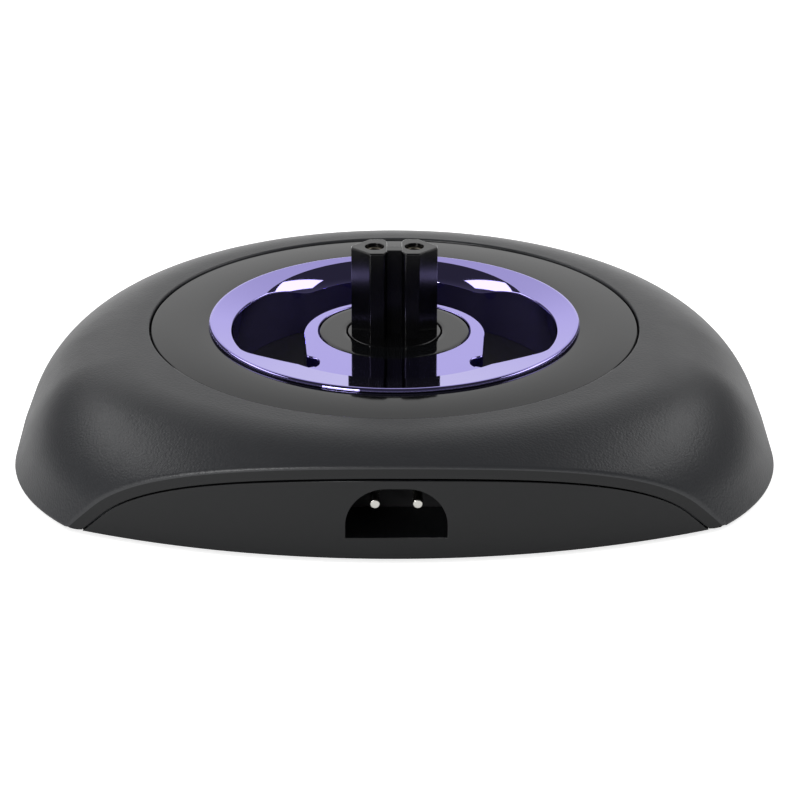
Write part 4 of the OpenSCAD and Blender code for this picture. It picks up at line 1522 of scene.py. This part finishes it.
@dataclass(frozen=True)
class ConnectorPost:
    """The post's two barrels, their web and the round flange, with a sleeve in each mouth."""

    pitch: float = 6.3
    half_depth: float = 3.45
    reach_out: float = 3.7
    reach_in: float = 2.0
    side_flat: float = 1.0
    groove_chamfer: float = 1.0
    barrel_ease: float = 0.4
    top_ease: float = 0.25
    web_half_t: float = 1.1
    web_drop: float = 0.3
    mouth_r: float = 1.5
    mouth_ease: float = 0.15
    collar_r: float = 7.45
    collar_z: float = 16.8
    flange_t: float = 1.5
    sleeve_r: float = 1.42
    sleeve_bore_r: float = 0.8
    sleeve_sunk: float = 0.5
    sleeve_bore: float = 11.0
    tail_r: float = 0.5
    tail_low_z: float = 7.6
    sink: float = 0.3
    web_overlap: float = 0.6
    web_corner: float = 0.2
    web_ease: float = 0.12
    foot_ease: float = 0.1
    collar_ease: float = 0.2
    sleeve_ease: float = 0.15
    rim_w: float = 1.0

    def barrel(self, sketch: MeshSketch, side: int) -> None:
        """Adds one barrel.

        Args:
            sketch: the post's sketch.
            side: -1 on the left, 1 on the right.
        """
        axis = Vector((self.pitch / 2, 0))
        out_x, in_x = axis.x + self.reach_out, axis.x - self.reach_in
        run = self.half_depth - self.side_flat / 2
        front = [Vector((out_x, -self.side_flat / 2)), Vector((out_x - run, -self.half_depth)),
                 Vector((in_x + self.groove_chamfer / 2, -self.half_depth)),
                 Vector((in_x, self.groove_chamfer - self.half_depth))]
        outline = [p * Vector((side, 1)) for p in front + [p * Vector((1, -1)) for p in reversed(front)]]
        middle = Vector((axis.x * side, 0, 0))
        if side > 0:
            outline.reverse()
        low, high = UP * (self.collar_z - self.sink), UP * DATUM.post_top_z
        strips: list[list[Strip]] = []
        for corner in rounded_loop(outline, self.barrel_ease):
            edge, out = corner.at, corner.normal
            ray = (edge - middle).normalized()
            mouth = middle + ray * self.mouth_r
            lip = mouth + ray * self.mouth_ease * 2
            top = eased(edge + low, edge + high, edge - out + high, self.top_ease, out, UP)
            well = eased(lip + high, mouth + high, mouth + low, self.mouth_ease, UP, -ray)
            strips.append([
                [Corner(edge + low, out), Corner(top[0].at, out)], top,
                [Corner(top[-1].at, UP), Corner(well[0].at, UP)], well,
                [Corner(well[-1].at, -ray), Corner(mouth + low, -ray)],
                [Corner(mouth + low, -UP), Corner(edge + low, -UP)]])
        for strip in zip(*strips):
            sketch.loft(strip, closed=True)

    def build(self) -> list[bpy.types.Object]:
        """Builds the post and its two sleeves."""
        sketch = MeshSketch()
        for side in (-1, 1):
            self.barrel(sketch, side)
        overlap = self.pitch / 2 - self.reach_in + self.web_overlap
        web = [Vector((x, y)) for x, y in ((-overlap, -self.web_half_t), (overlap, -self.web_half_t),
                                           (overlap, self.web_half_t), (-overlap, self.web_half_t))]
        prism(sketch, rounded_loop(web, self.web_corner), self.collar_z - self.sink,
              DATUM.post_top_z - self.web_drop, self.web_ease)
        flange_z = DATUM.flange_low_z + self.flange_t
        bores = [circle(self.mouth_r, BORE_STEPS, x) for x in (-self.pitch / 2, self.pitch / 2)]
        flange_r, low_z = DATUM.flange_r, DATUM.flange_low_z
        under_r, face_r = flange_r - self.rim_w, self.collar_r - self.rim_w
        collar = section([
            (under_r, low_z, 0), (flange_r, low_z, self.foot_ease),
            (flange_r, flange_z, self.collar_ease), (self.collar_r, flange_z, 0),
            (self.collar_r, self.collar_z, self.collar_ease),
            (face_r, self.collar_z, 0)], closed=False)
        sketch.turn(collar)
        for radius, z, normal in ((under_r, low_z, -UP), (face_r, self.collar_z, UP)):
            sketch.fill([circle(radius, TURN_STEPS)] + bores, level(z, normal))
        inward = Vector((-1, 0, 0))
        bore = [[Corner(Vector((self.mouth_r, 0, z)), inward) for z in (self.collar_z, low_z)]]
        for side in (-1, 1):
            sketch.turn(bore, side * self.pitch / 2, 0, BORE_STEPS)
        post = keep(sketch.to_object("post_moulding", POST_NYLON), "post_black", "connector_post")
        return [post, self.sleeve(-1, "contact_left"), self.sleeve(1, "contact_right")]

    def sleeve(self, side: int, node: str) -> bpy.types.Object:
        """Builds one contact sleeve with its tail.

        Args:
            side: -1 for left, 1 for right.
            node: its name.

        Returns:
            Its object.
        """
        top = DATUM.post_top_z - self.sleeve_sunk
        floor_z = top - self.sleeve_bore
        low = DATUM.flange_low_z
        sketch = MeshSketch()
        profile = section([
            (0, self.tail_low_z, 0), (self.tail_r, self.tail_low_z, self.foot_ease),
            (self.tail_r, low, 0), (self.sleeve_r, low, self.foot_ease),
            (self.sleeve_r, top, self.sleeve_ease), (self.sleeve_bore_r, top, self.collar_ease),
            (self.sleeve_bore_r, floor_z, 0), (0, floor_z, 0)], closed=False)
        sketch.turn(profile, side * self.pitch / 2, 0, BORE_STEPS)
        return keep(sketch.to_object(f"sleeve_{node}", SLEEVE_BRONZE), "contact_brass", node)


def prism(sketch: MeshSketch, outline: Strip, low: float, high: float, ease: float) -> None:
    """Adds an upright prism with a rounded top edge.

    Args:
        sketch: where it goes.
        outline: its closed outline, facing outwards.
        low: height of its foot.
        high: height of its top.
        ease: rounding of the top edge.
    """
    strips = []
    for corner in outline:
        edge, out = corner.at, corner.normal
        top = eased(edge + UP * low, edge + UP * high, edge - out + UP * high, ease, out, UP)
        strips.append([[Corner(edge + UP * low, out), Corner(top[0].at, out)], top])
    for strip in zip(*strips):
        sketch.loft(strip, closed=True)
    for loop, z, normal in (([s[1][-1].at.to_2d() for s in strips], high, UP),
                            ([c.at.to_2d() for c in outline], low, -UP)):
        sketch.fill([loop], level(z, normal))


# Base and inlet


@dataclass(frozen=True)
class Base:
    """The base moulding: a floor, the arched front panel and the inlet's tunnel."""

    cover: TopCover
    lip_gap: float = 0.25
    panel_t: float = 2.2
    panel_ease: float = 0.2
    floor_t: float = 2.0
    inlet_w: float = 15.0
    inlet_h: float = 7.9
    inlet_low: float = 4.2
    inlet_top_r: float = 6.0
    inlet_ease: float = 0.15
    inlet_wall: float = 1.2
    inlet_len: float = 16.0
    screw_x: float = 37.0
    screw_y: float = 22.0
    screw_seat_r: float = 2.4
    screw_seat_z: float = 2.0
    screw_hole_r: float = 1.3
    foot_x: float = 30.0
    foot_fwd: float = 36.0
    foot_back: float = 40.0
    foot_seat_r: float = 5.2
    foot_seat_z: float = 1.65
    pillar_x: float = 17.0
    pillar_r: float = 2.5
    pillar_top_z: float = 7.65
    foot_proud: float = 0.8
    pillar_ease: float = 0.2
    panel_round: float = 1.2
    inlet_steps: int = 24
    arch_reach: float = 49.6
    arch_samples: int = 500
    base_steps: int = 60

    def arch_line(self, width: float, low: float, steps: int = 160) -> list[Vector]:
        """Lays the line a given width inside the arch, from left to right.

        Args:
            width: distance from the arch.
            low: height above the lower edge at which it ends.
            steps: spans along it.

        Returns:
            Points in x and height above the ground.
        """
        spread = np.linspace(0, self.arch_reach, self.arch_samples)
        probe = [self.cover.under_arch(x, width) for x in spread]
        reach = next((a.x + (b.x - a.x) * (a.y - low) / (a.y - b.y)
                      for a, b in zip(probe, probe[1:]) if a.y > low >= b.y), probe[-1].x)
        half = [p for p in probe if p.x < reach and p.y > low] + [Vector((reach, low))]
        line = [p * Vector((-1, 1)) for p in reversed(half[1:])] + half
        return [p + Vector((0, DATUM.edge_z)) for p in resampled(line, 2 * reach / steps)]

    def inlet_line(self, grow: float) -> list[Vector]:
        """Lays the inlet's outline, grown outwards.

        Args:
            grow: how far.

        Returns:
            The closed outline in x and height, anticlockwise.
        """
        half, radius = self.inlet_w / 2 + grow, self.inlet_top_r + grow
        low = self.inlet_low + DATUM.edge_z - self.foot_proud - grow
        side = self.inlet_low + self.inlet_h - self.inlet_top_r
        right = arc(Vector((half - radius, side)), radius, 0, 90, self.inlet_steps)
        left = arc(Vector((radius - half, side)), radius, 90, 180, self.inlet_steps)
        return [Vector((half, low))] + right + left + [Vector((-half, low))]

    def on_front(self, flat: Vector, depth: float) -> Vector:
        """Places a point of the front view on the curved face.

        Args:
            flat: x and height.
            depth: distance behind the face.

        Returns:
            The point.
        """
        return Vector((flat.x, self.cover.front_y(flat.x) + depth, flat.y))

    def front_facing(self, flat: Vector) -> Vector:
        """Gives the way the front face looks at a point of the front view."""
        at = self.on_front(flat, 0)
        return ((at - self.cover.front_middle.to_3d()) * FLAT).normalized()

    def add_panel(self, sketch: MeshSketch) -> None:
        """Adds the front panel and the tunnel behind the inlet.

        Args:
            sketch: the mesh that it joins.
        """
        ease = self.panel_ease
        width = self.cover.lip_w + self.lip_gap
        rim = self.arch_line(width, 0)
        face = self.arch_line(width + ease, ease)
        rim += self.base_line(rim)
        face += self.base_line(face)
        loops = []
        for edge, inset in zip(rim, face):
            look = self.front_facing(inset)
            side = Vector((edge.x - inset.x, 0, edge.y - inset.y)).normalized()
            corner = self.on_front(edge, 0)
            start, behind = self.on_front(inset, 0), self.on_front(edge, self.panel_t)
            top = eased(start, corner, behind, ease * self.panel_round, look, side)
            top[0] = Corner(start, look)
            loops.append(top + [Corner(behind, side)])
        sketch.loft(loops, closed=True)
        mouth, tunnel = self.inlet_line(self.inlet_ease), self.inlet_line(0)
        outer = self.inlet_line(self.inlet_wall)
        end_y = -DATUM.front + self.inlet_len
        for_face = []
        for wide, near, far_out in zip(mouth, tunnel, outer):
            look = self.front_facing(near)
            inward = Vector((near.x - wide.x, 0, near.y - wide.y)).normalized()
            end = Vector((near.x, end_y, near.y))
            start = self.on_front(wide, 0)
            bend = eased(start, self.on_front(near, 0), end, self.inlet_ease, look, inward)
            bend[0] = Corner(start, look)
            outer_end = Vector((far_out.x, end_y, far_out.y))
            for_face.append(bend + [Corner(end, inward), Corner(end), Corner(outer_end),
                                    Corner(self.on_front(far_out, self.panel_t))])
        sketch.loft(for_face, closed=True)
        sketch.fill([face, mouth],
                    lambda flat, _: Corner(self.on_front(flat, 0), self.front_facing(flat)))
        sketch.fill([rim, outer], lambda flat, _: Corner(self.on_front(flat, self.panel_t)))

    def base_line(self, line: Sequence[Vector]) -> list[Vector]:
        """Lays the straight lower side that closes an arch line, from right to left.

        Args:
            line: the arch line.

        Returns:
            Its points, without its ends.
        """
        right, left = line[-1], line[0]
        run = left.x - right.x
        return [Vector((right.x + run * i / self.base_steps, right.y))
                for i in range(1, self.base_steps)]

    def add_floor(self, sketch: MeshSketch) -> None:
        """Adds the floor, with its screw seats and foot pockets.

        Args:
            sketch: the mesh that it joins.
        """
        low, high = DATUM.edge_z, DATUM.edge_z + self.floor_t
        edge_d = self.cover.foot_depth(self.cover.wall + self.lip_gap)
        lean = self.floor_t / math.tan(self.cover.lean)
        front_r = self.cover.front_r - self.panel_t

        def rim(depth: float) -> list[Vector]:
            """Lays the floor's outline at a depth."""
            return [s.at(max(depth, s.depth_of(self.cover.front_middle, front_r)))
                    for s in self.cover.stations()]

        bottom, top = rim(edge_d), rim(edge_d + lean)
        sketch.loft([[Corner(a.to_3d() + UP * low), Corner(b.to_3d() + UP * high)]
                     for a, b in zip(bottom, top)], closed=True)
        screws = quarters(self.screw_x, self.screw_y)
        feet = [(x, y) for x in (-self.foot_x, self.foot_x) for y in (-self.foot_fwd, self.foot_back)]
        seats = [circle(self.screw_seat_r, BORE_STEPS, *p) for p in screws]
        seats += [circle(self.foot_seat_r, TURN_STEPS, *p) for p in feet]
        holes = [circle(self.screw_hole_r, BORE_STEPS, *p) for p in screws]
        sketch.fill([bottom] + seats, level(low, -UP))
        sketch.fill([top] + holes, level(high, UP))
        for place in screws:
            sketch.turn(section([(self.screw_hole_r, high, 0), (self.screw_hole_r, self.screw_seat_z, 0),
                                 (self.screw_seat_r, self.screw_seat_z, 0), (self.screw_seat_r, low, 0)],
                                closed=False), *place, BORE_STEPS)
        for place in feet:
            sketch.turn(section([(0, self.foot_seat_z, 0), (self.foot_seat_r, self.foot_seat_z, 0),
                                 (self.foot_seat_r, low, 0)], closed=False), *place, TURN_STEPS)
        pillar = section([(0, high, 0), (self.pillar_r, high, 0),
                          (self.pillar_r, self.pillar_top_z, self.pillar_ease), (0, self.pillar_top_z, 0)],
                         closed=False)
        for place in quarters(self.pillar_x, self.pillar_x):
            sketch.turn(pillar, *place, BOSS_STEPS)

    def build(self) -> bpy.types.Object:
        """Builds the base as closed shells in one piece."""
        sketch = MeshSketch()
        self.add_panel(sketch)
        self.add_floor(sketch)
        return keep(sketch.to_object("base_moulding", SATIN_ABS), "housing_black", "base_housing")


@dataclass(frozen=True)
class InletPins:
    """The two round-tipped pins in the inlet."""

    pitch: float = 6.3
    radius: float = 0.75
    tail_r: float = 0.5
    tip_ease: float = 0.25
    tail_ease: float = 0.1
    tip_sunk: float = 1.6
    inlet_depth: float = 11.0
    steps: int = 32

    def build(self) -> list[bpy.types.Object]:
        """Builds both pins."""
        return [self.pin(side, node) for side, node in ((-1, "inlet_pin_left"), (1, "inlet_pin_right"))]

    def pin(self, side: int, node: str) -> bpy.types.Object:
        """Builds one pin, turned upright and then laid along y.

        Args:
            side: -1 for left, 1 for right.
            node: its name.

        Returns:
            Its object.
        """
        low, high = node_box(node)
        tip, shoulder, end = 0.0, self.inlet_depth - self.tip_sunk, high.y - low.y
        profile = section([
            (0, -end, 0), (self.tail_r, -end, self.tail_ease), (self.tail_r, -shoulder, 0),
            (self.radius, -shoulder, 0), (self.radius, tip, self.tip_ease), (0, tip, 0)], closed=False)
        sketch = MeshSketch()
        sketch.turn(profile, steps=self.steps)
        front = Vector((side * self.pitch / 2, low.y - DATUM.axis_y, (low.z + high.z) / 2))
        lay = Matrix.Rotation(QUARTER, 3, "X")
        sketch.faces = [[Corner(front + lay @ c.at, lay @ c.normal) for c in face]
                        for face in sketch.faces]
        return keep(sketch.to_object(f"pin_{node}", PIN_NICKEL), "pin_nickel", node)


@dataclass(frozen=True)
class Feet:
    """The four rubber feet in their pockets."""

    radius: float = 5.0
    thickness: float = 1.6
    ease: float = 0.3
    groove_r: float = 3.4
    groove_ease: float = 0.1
    groove_w: float = 0.4
    groove_depth: float = 0.3

    def build(self) -> list[bpy.types.Object]:
        """Builds one foot on each packed foot."""
        inner_r = self.groove_r - self.groove_w
        profile = section([
            (0, 0, 0), (inner_r, 0, self.groove_ease), (inner_r, self.groove_depth, 0),
            (self.groove_r, self.groove_depth, 0), (self.groove_r, 0, self.groove_ease),
            (self.radius, 0, self.ease), (self.radius, self.thickness, self.ease),
            (0, self.thickness, 0)], closed=False)
        feet = []
        for node in ("foot_front_left", "foot_front_right", "foot_back_left", "foot_back_right"):
            low, high = node_box(node)
            middle = (low + high) / 2
            sketch = MeshSketch()
            sketch.turn(profile, middle.x, middle.y - DATUM.axis_y)
            feet.append(keep(sketch.to_object(f"rubber_{node}", FOOT_RUBBER), "foot_rubber", node))
        return feet


@dataclass(frozen=True)
class BaseScrews:
    """The four cross-head screws that hold the base, spread by a geometry tree."""

    head_r: float = 2.2
    head_h: float = 1.2
    shank_r: float = 1.1
    length: float = 6.0
    slot_w: float = 0.55
    slot_r: float = 1.25
    slot_depth: float = 0.7
    slot_taper: float = 0.8
    head_rim: float = 0.6
    head_ease: float = 0.35
    under_ease: float = 0.1
    tip_ease: float = 0.3
    spread_x: float = 74.0
    spread_y: float = 44.0

    def screw(self) -> bpy.types.Object:
        """Builds one screw, head down, with its cross recess."""
        sketch = MeshSketch()
        flat_r, end = self.head_r - self.head_rim, self.head_h + self.length
        sketch.turn(section([
            (flat_r, 0, 0), (self.head_r, 0, self.head_ease),
            (self.head_r, self.head_h, self.under_ease), (self.shank_r, self.head_h, 0),
            (self.shank_r, end, self.tip_ease), (0, end, 0)], closed=False),
            steps=BORE_STEPS)
        half, arm = self.slot_w / 2, self.slot_r
        quarter = [Vector((arm, -half)), Vector((arm, half)), Vector((half, half))]
        cross = [Matrix.Rotation(math.tau * i / 4, 2) @ p for i in range(4) for p in quarter]
        taper, depth = self.slot_taper, UP * self.slot_depth
        sketch.fill([circle(flat_r, BORE_STEPS), cross], level(0, -UP))
        sketch.fill([cross], lambda flat, _: Corner(flat.to_3d() * taper + depth, -UP))
        sketch.loft([[Corner(p.to_3d()), Corner(p.to_3d() * taper + depth)] for p in cross],
                    closed=True)
        return sketch.to_object("screw_pattern", ZINC_STEEL)

    def build(self) -> bpy.types.Object:
        """Spreads the screw to its four places."""
        pattern = self.screw()
        pattern.data.transform(Matrix.Translation((0, -DATUM.axis_y * MM, 0)))
        tree, value = open_tree("screw_spread", {
            "Screw": "NodeSocketObject", "Spread X": "NodeSocketFloat", "Spread Y": "NodeSocketFloat",
            "Axis Y": "NodeSocketFloat", "Height": "NodeSocketFloat", "Finish": "NodeSocketMaterial"})
        grid = add_node(tree, "GeometryNodeMeshGrid", {
            "Size X": value["Spread X"], "Size Y": value["Spread Y"], "Vertices X": 2, "Vertices Y": 2})
        shift = add_node(tree, "ShaderNodeCombineXYZ", {"Y": value["Axis Y"], "Z": value["Height"]})
        placed = add_node(tree, "GeometryNodeTransform", {
            "Geometry": grid.outputs[0], "Translation": shift.outputs[0]})
        shape = add_node(tree, "GeometryNodeObjectInfo", {"Object": value["Screw"]})
        spread = add_node(tree, "GeometryNodeInstanceOnPoints", {
            "Points": placed.outputs[0], "Instance": shape.outputs["Geometry"]})
        close_tree(tree, spread.outputs[0], value["Finish"])
        screws = grown("base_screw_set", tree, {
            "Screw": pattern, "Spread X": self.spread_x * MM, "Spread Y": self.spread_y * MM,
            "Axis Y": DATUM.axis_y * MM, "Height": DATUM.edge_z * MM, "Finish": ZINC_STEEL.material()})
        bpy.data.objects.remove(pattern)
        return keep(screws, "screw_steel", "base_screws")


@dataclass(frozen=True)
class HiddenParts:
    """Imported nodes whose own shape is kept, with a finish each."""

    finishes: tuple[tuple[str, Finish], ...] = (
        ("carrier", INNER_ABS), ("contact_holder", INNER_ABS), ("inlet_block", INNER_ABS),
        ("lead_left", RED_SHEATH), ("lead_right", BLACK_SHEATH), ("heat_shrinks", SHRINK_TUBE),
        ("carrier_screws", ZINC_STEEL))

    def dress(self) -> None:
        """Gives each node its finish."""
        for node, finish in self.finishes:
            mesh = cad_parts[node].data
            mesh.materials.clear()
            mesh.materials.append(finish.material())
            LOG.info("%s: %s", node, finish.name)


# Studio


class Softbox(Enum):
    """The studio's lamps: place about the stand in millimetres, width, height and power."""

    LEFT = (-810, 325, 770, 1000, 330, 2.4)
    RIGHT = (810, 325, 770, 1000, 330, 2.4)
    FRONT_LEFT = (-560, -900, 290, 420, 120, 3.6)


@dataclass(frozen=True)
class Studio:
    """A white table before a white wall, with softboxes beside and before it, and a long lens."""

    azimuth_deg: float = -0.53
    elevation_deg: float = 22.95
    roll_deg: float = 0.14
    distance: float = 501.6
    lens: float = 139.4
    sensor: float = 36.0
    aim_right: float = 0.946
    aim_z: float = 4.70
    floor_r: float = 3000.0
    floor_colour: str = "#e6e6e6"
    floor_glow: float = 0.7
    sweep_from: tuple[float, float] = (60.0, 180.0)
    wall_light: float = 0.9
    wall_top_light: float = 0.72
    wall_fade_deg: tuple[float, float] = (20.0, 34.0)
    wall_rise: float = 1.14
    wall_half_deg: float = 24.0
    room_light: float = 0.12
    ceiling_light: float = 0.04
    fill_light: float = 0.9
    wall_blur: float = 0.08
    room_fade: tuple[float, float] = (0.1, 0.7)
    floor_steps: int = 128
    clip: tuple[float, float] = (0.01, 20)

    def camera(self) -> bpy.types.Object:
        """Places the camera where the photograph was taken from."""
        azimuth, elevation, roll = (math.radians(v) for v in (
            self.azimuth_deg, self.elevation_deg, self.roll_deg))
        back = Vector((math.sin(azimuth) * math.cos(elevation), -math.cos(azimuth) * math.cos(elevation),
                       math.sin(elevation)))
        right = Vector((math.cos(azimuth), math.sin(azimuth), 0))
        up = back.cross(right)
        right_rolled = right * math.cos(roll) + up * math.sin(roll)
        up_rolled = up * math.cos(roll) - right * math.sin(roll)
        aim = Vector((0, DATUM.axis_y, self.aim_z)) + right * self.aim_right
        data = bpy.data.cameras.new("studio_camera")
        data.lens, data.sensor_width, data.sensor_fit = self.lens, self.sensor, "HORIZONTAL"
        data.clip_start, data.clip_end = self.clip
        camera = bpy.data.objects.new("studio_camera", data)
        turn = Matrix((right_rolled, up_rolled, back)).transposed().to_4x4()
        camera.matrix_world = Matrix.Translation((aim + back * self.distance) * MM) @ turn
        bpy.context.scene.collection.objects.link(camera)
        bpy.context.scene.camera = camera
        return camera

    def lamps(self) -> None:
        """Hangs the softboxes, each turned to the stand."""
        for box in Softbox:
            x, y, z, width, height, watts = box.value
            data = bpy.data.lights.new(f"softbox_{box.name.lower()}", "AREA")
            data.shape, data.size, data.size_y, data.energy = "RECTANGLE", width * MM, height * MM, watts
            lamp = bpy.data.objects.new(data.name, data)
            place = Vector((x, y, z)) * MM
            lamp.location = place
            lamp.rotation_euler = (-place).to_track_quat("-Z", "Y").to_euler()
            bpy.context.scene.collection.objects.link(lamp)

    def seen_directly(self, tree: Tree) -> Socket:
        """Gives 1 for rays from the camera or through glass, and for mirrored ones behind the stand.

        Args:
            tree: the shader tree.

        Returns:
            The result's socket.
        """
        path = add_node(tree, "ShaderNodeLightPath").outputs
        place = add_node(tree, "ShaderNodeTexCoord").outputs["Object"]
        depth = add_node(tree, "ShaderNodeSeparateXYZ", {"Vector": place}).outputs["Y"]
        behind = eased_step(tree, depth, [v * MM for v in self.sweep_from])
        lit = combined(tree, "MULTIPLY", path["Is Glossy Ray"], behind)
        mirrored = combined(tree, "MAXIMUM", lit, path["Is Transmission Ray"])
        return combined(tree, "MAXIMUM", path["Is Camera Ray"], mirrored)

    def surroundings(self) -> None:
        """Sets the world: a white wall behind the stand in an otherwise dim room."""
        world = bpy.data.worlds.new("studio")
        world.use_nodes = True
        tree = world.node_tree
        tree.nodes.clear()
        place = add_node(tree, "ShaderNodeTexCoord").outputs["Generated"]
        part = add_node(tree, "ShaderNodeSeparateXYZ", {"Vector": place}).outputs

        fade = [math.sin(math.radians(v)) for v in self.wall_fade_deg]
        wall = eased_step(tree, part["Z"], fade, self.wall_light, self.wall_top_light)
        top = combined(tree, "MULTIPLY", part["Y"], self.wall_rise)
        over_top = combined(tree, "SUBTRACT", part["Z"], top)
        blur = self.wall_blur
        below_top = eased_step(tree, over_top, (-blur, blur), 1.0, 0.0)
        bearing = combined(tree, "ARCTAN2", combined(tree, "ABSOLUTE", part["X"], 0.0), part["Y"])
        half = math.radians(self.wall_half_deg)
        within = eased_step(tree, bearing, (half - blur, half + blur), 1.0, 0.0)
        on_wall = combined(tree, "MULTIPLY", below_top, within)
        room = eased_step(tree, part["Z"], self.room_fade, self.room_light, self.ceiling_light)
        shade = add_node(tree, "ShaderNodeMix", {0: on_wall, 2: room, 3: wall}).outputs[0]
        path = add_node(tree, "ShaderNodeLightPath").outputs
        soft = add_node(tree, "ShaderNodeMix", {0: path["Is Diffuse Ray"], 2: shade, 3: self.fill_light})
        strength = add_node(tree, "ShaderNodeMix", {
            0: path["Is Camera Ray"], 2: soft.outputs[0], 3: 1.0})
        light = add_node(tree, "ShaderNodeBackground", {
            "Color": (1, 1, 1, 1), "Strength": strength.outputs[0]})
        add_node(tree, "ShaderNodeOutputWorld", {"Surface": light.outputs[0]})
        bpy.context.scene.world = world

    def floor(self) -> bpy.types.Object:
        """Lays the white table, which keeps the stand's soft shadow."""
        material = bpy.data.materials.new("white_table")
        material.use_nodes = True
        tree = material.node_tree
        tree.nodes.clear()
        colour = linear(self.floor_colour)
        matt = add_node(tree, "ShaderNodeBsdfDiffuse", {"Color": colour})
        lit = add_node(tree, "ShaderNodeEmission", {"Color": (1, 1, 1, 1), "Strength": self.floor_glow})
        both = add_node(tree, "ShaderNodeAddShader", {0: matt.outputs[0], 1: lit.outputs[0]})
        mixed = add_node(tree, "ShaderNodeMixShader", {
            0: self.seen_directly(tree), 1: matt.outputs[0], 2: both.outputs[0]})
        add_node(tree, "ShaderNodeOutputMaterial", {"Surface": mixed.outputs[0]})
        mesh = bpy.data.meshes.new("table")
        rim = circle(self.floor_r, self.floor_steps)
        mesh.from_pydata([(p.x * MM, p.y * MM, 0) for p in rim], [], [tuple(range(len(rim)))])
        mesh.materials.append(material)
        table = bpy.data.objects.new("table", mesh)
        bpy.context.scene.collection.objects.link(table)
        return table

    def build(self) -> None:
        """Sets up the camera, the light and the table."""
        self.camera()
        self.surroundings()
        self.lamps()
        self.floor()
        settings = bpy.context.scene.view_settings
        settings.view_transform = "Standard"


def main() -> None:
    """Builds the stand and its studio."""
    logging.basicConfig(level=logging.INFO, format="%(message)s", stream=sys.stdout)
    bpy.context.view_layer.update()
    Studio().build()
    cover = TopCover()
    cover.build()
    GlossRings().build()
    Bezel().build()
    ConnectorPost().build()
    Base(cover).build()
    InletPins().build()
    Feet().build()
    BaseScrews().build()
    HiddenParts().dress()


if __name__ == "__main__":
    main()
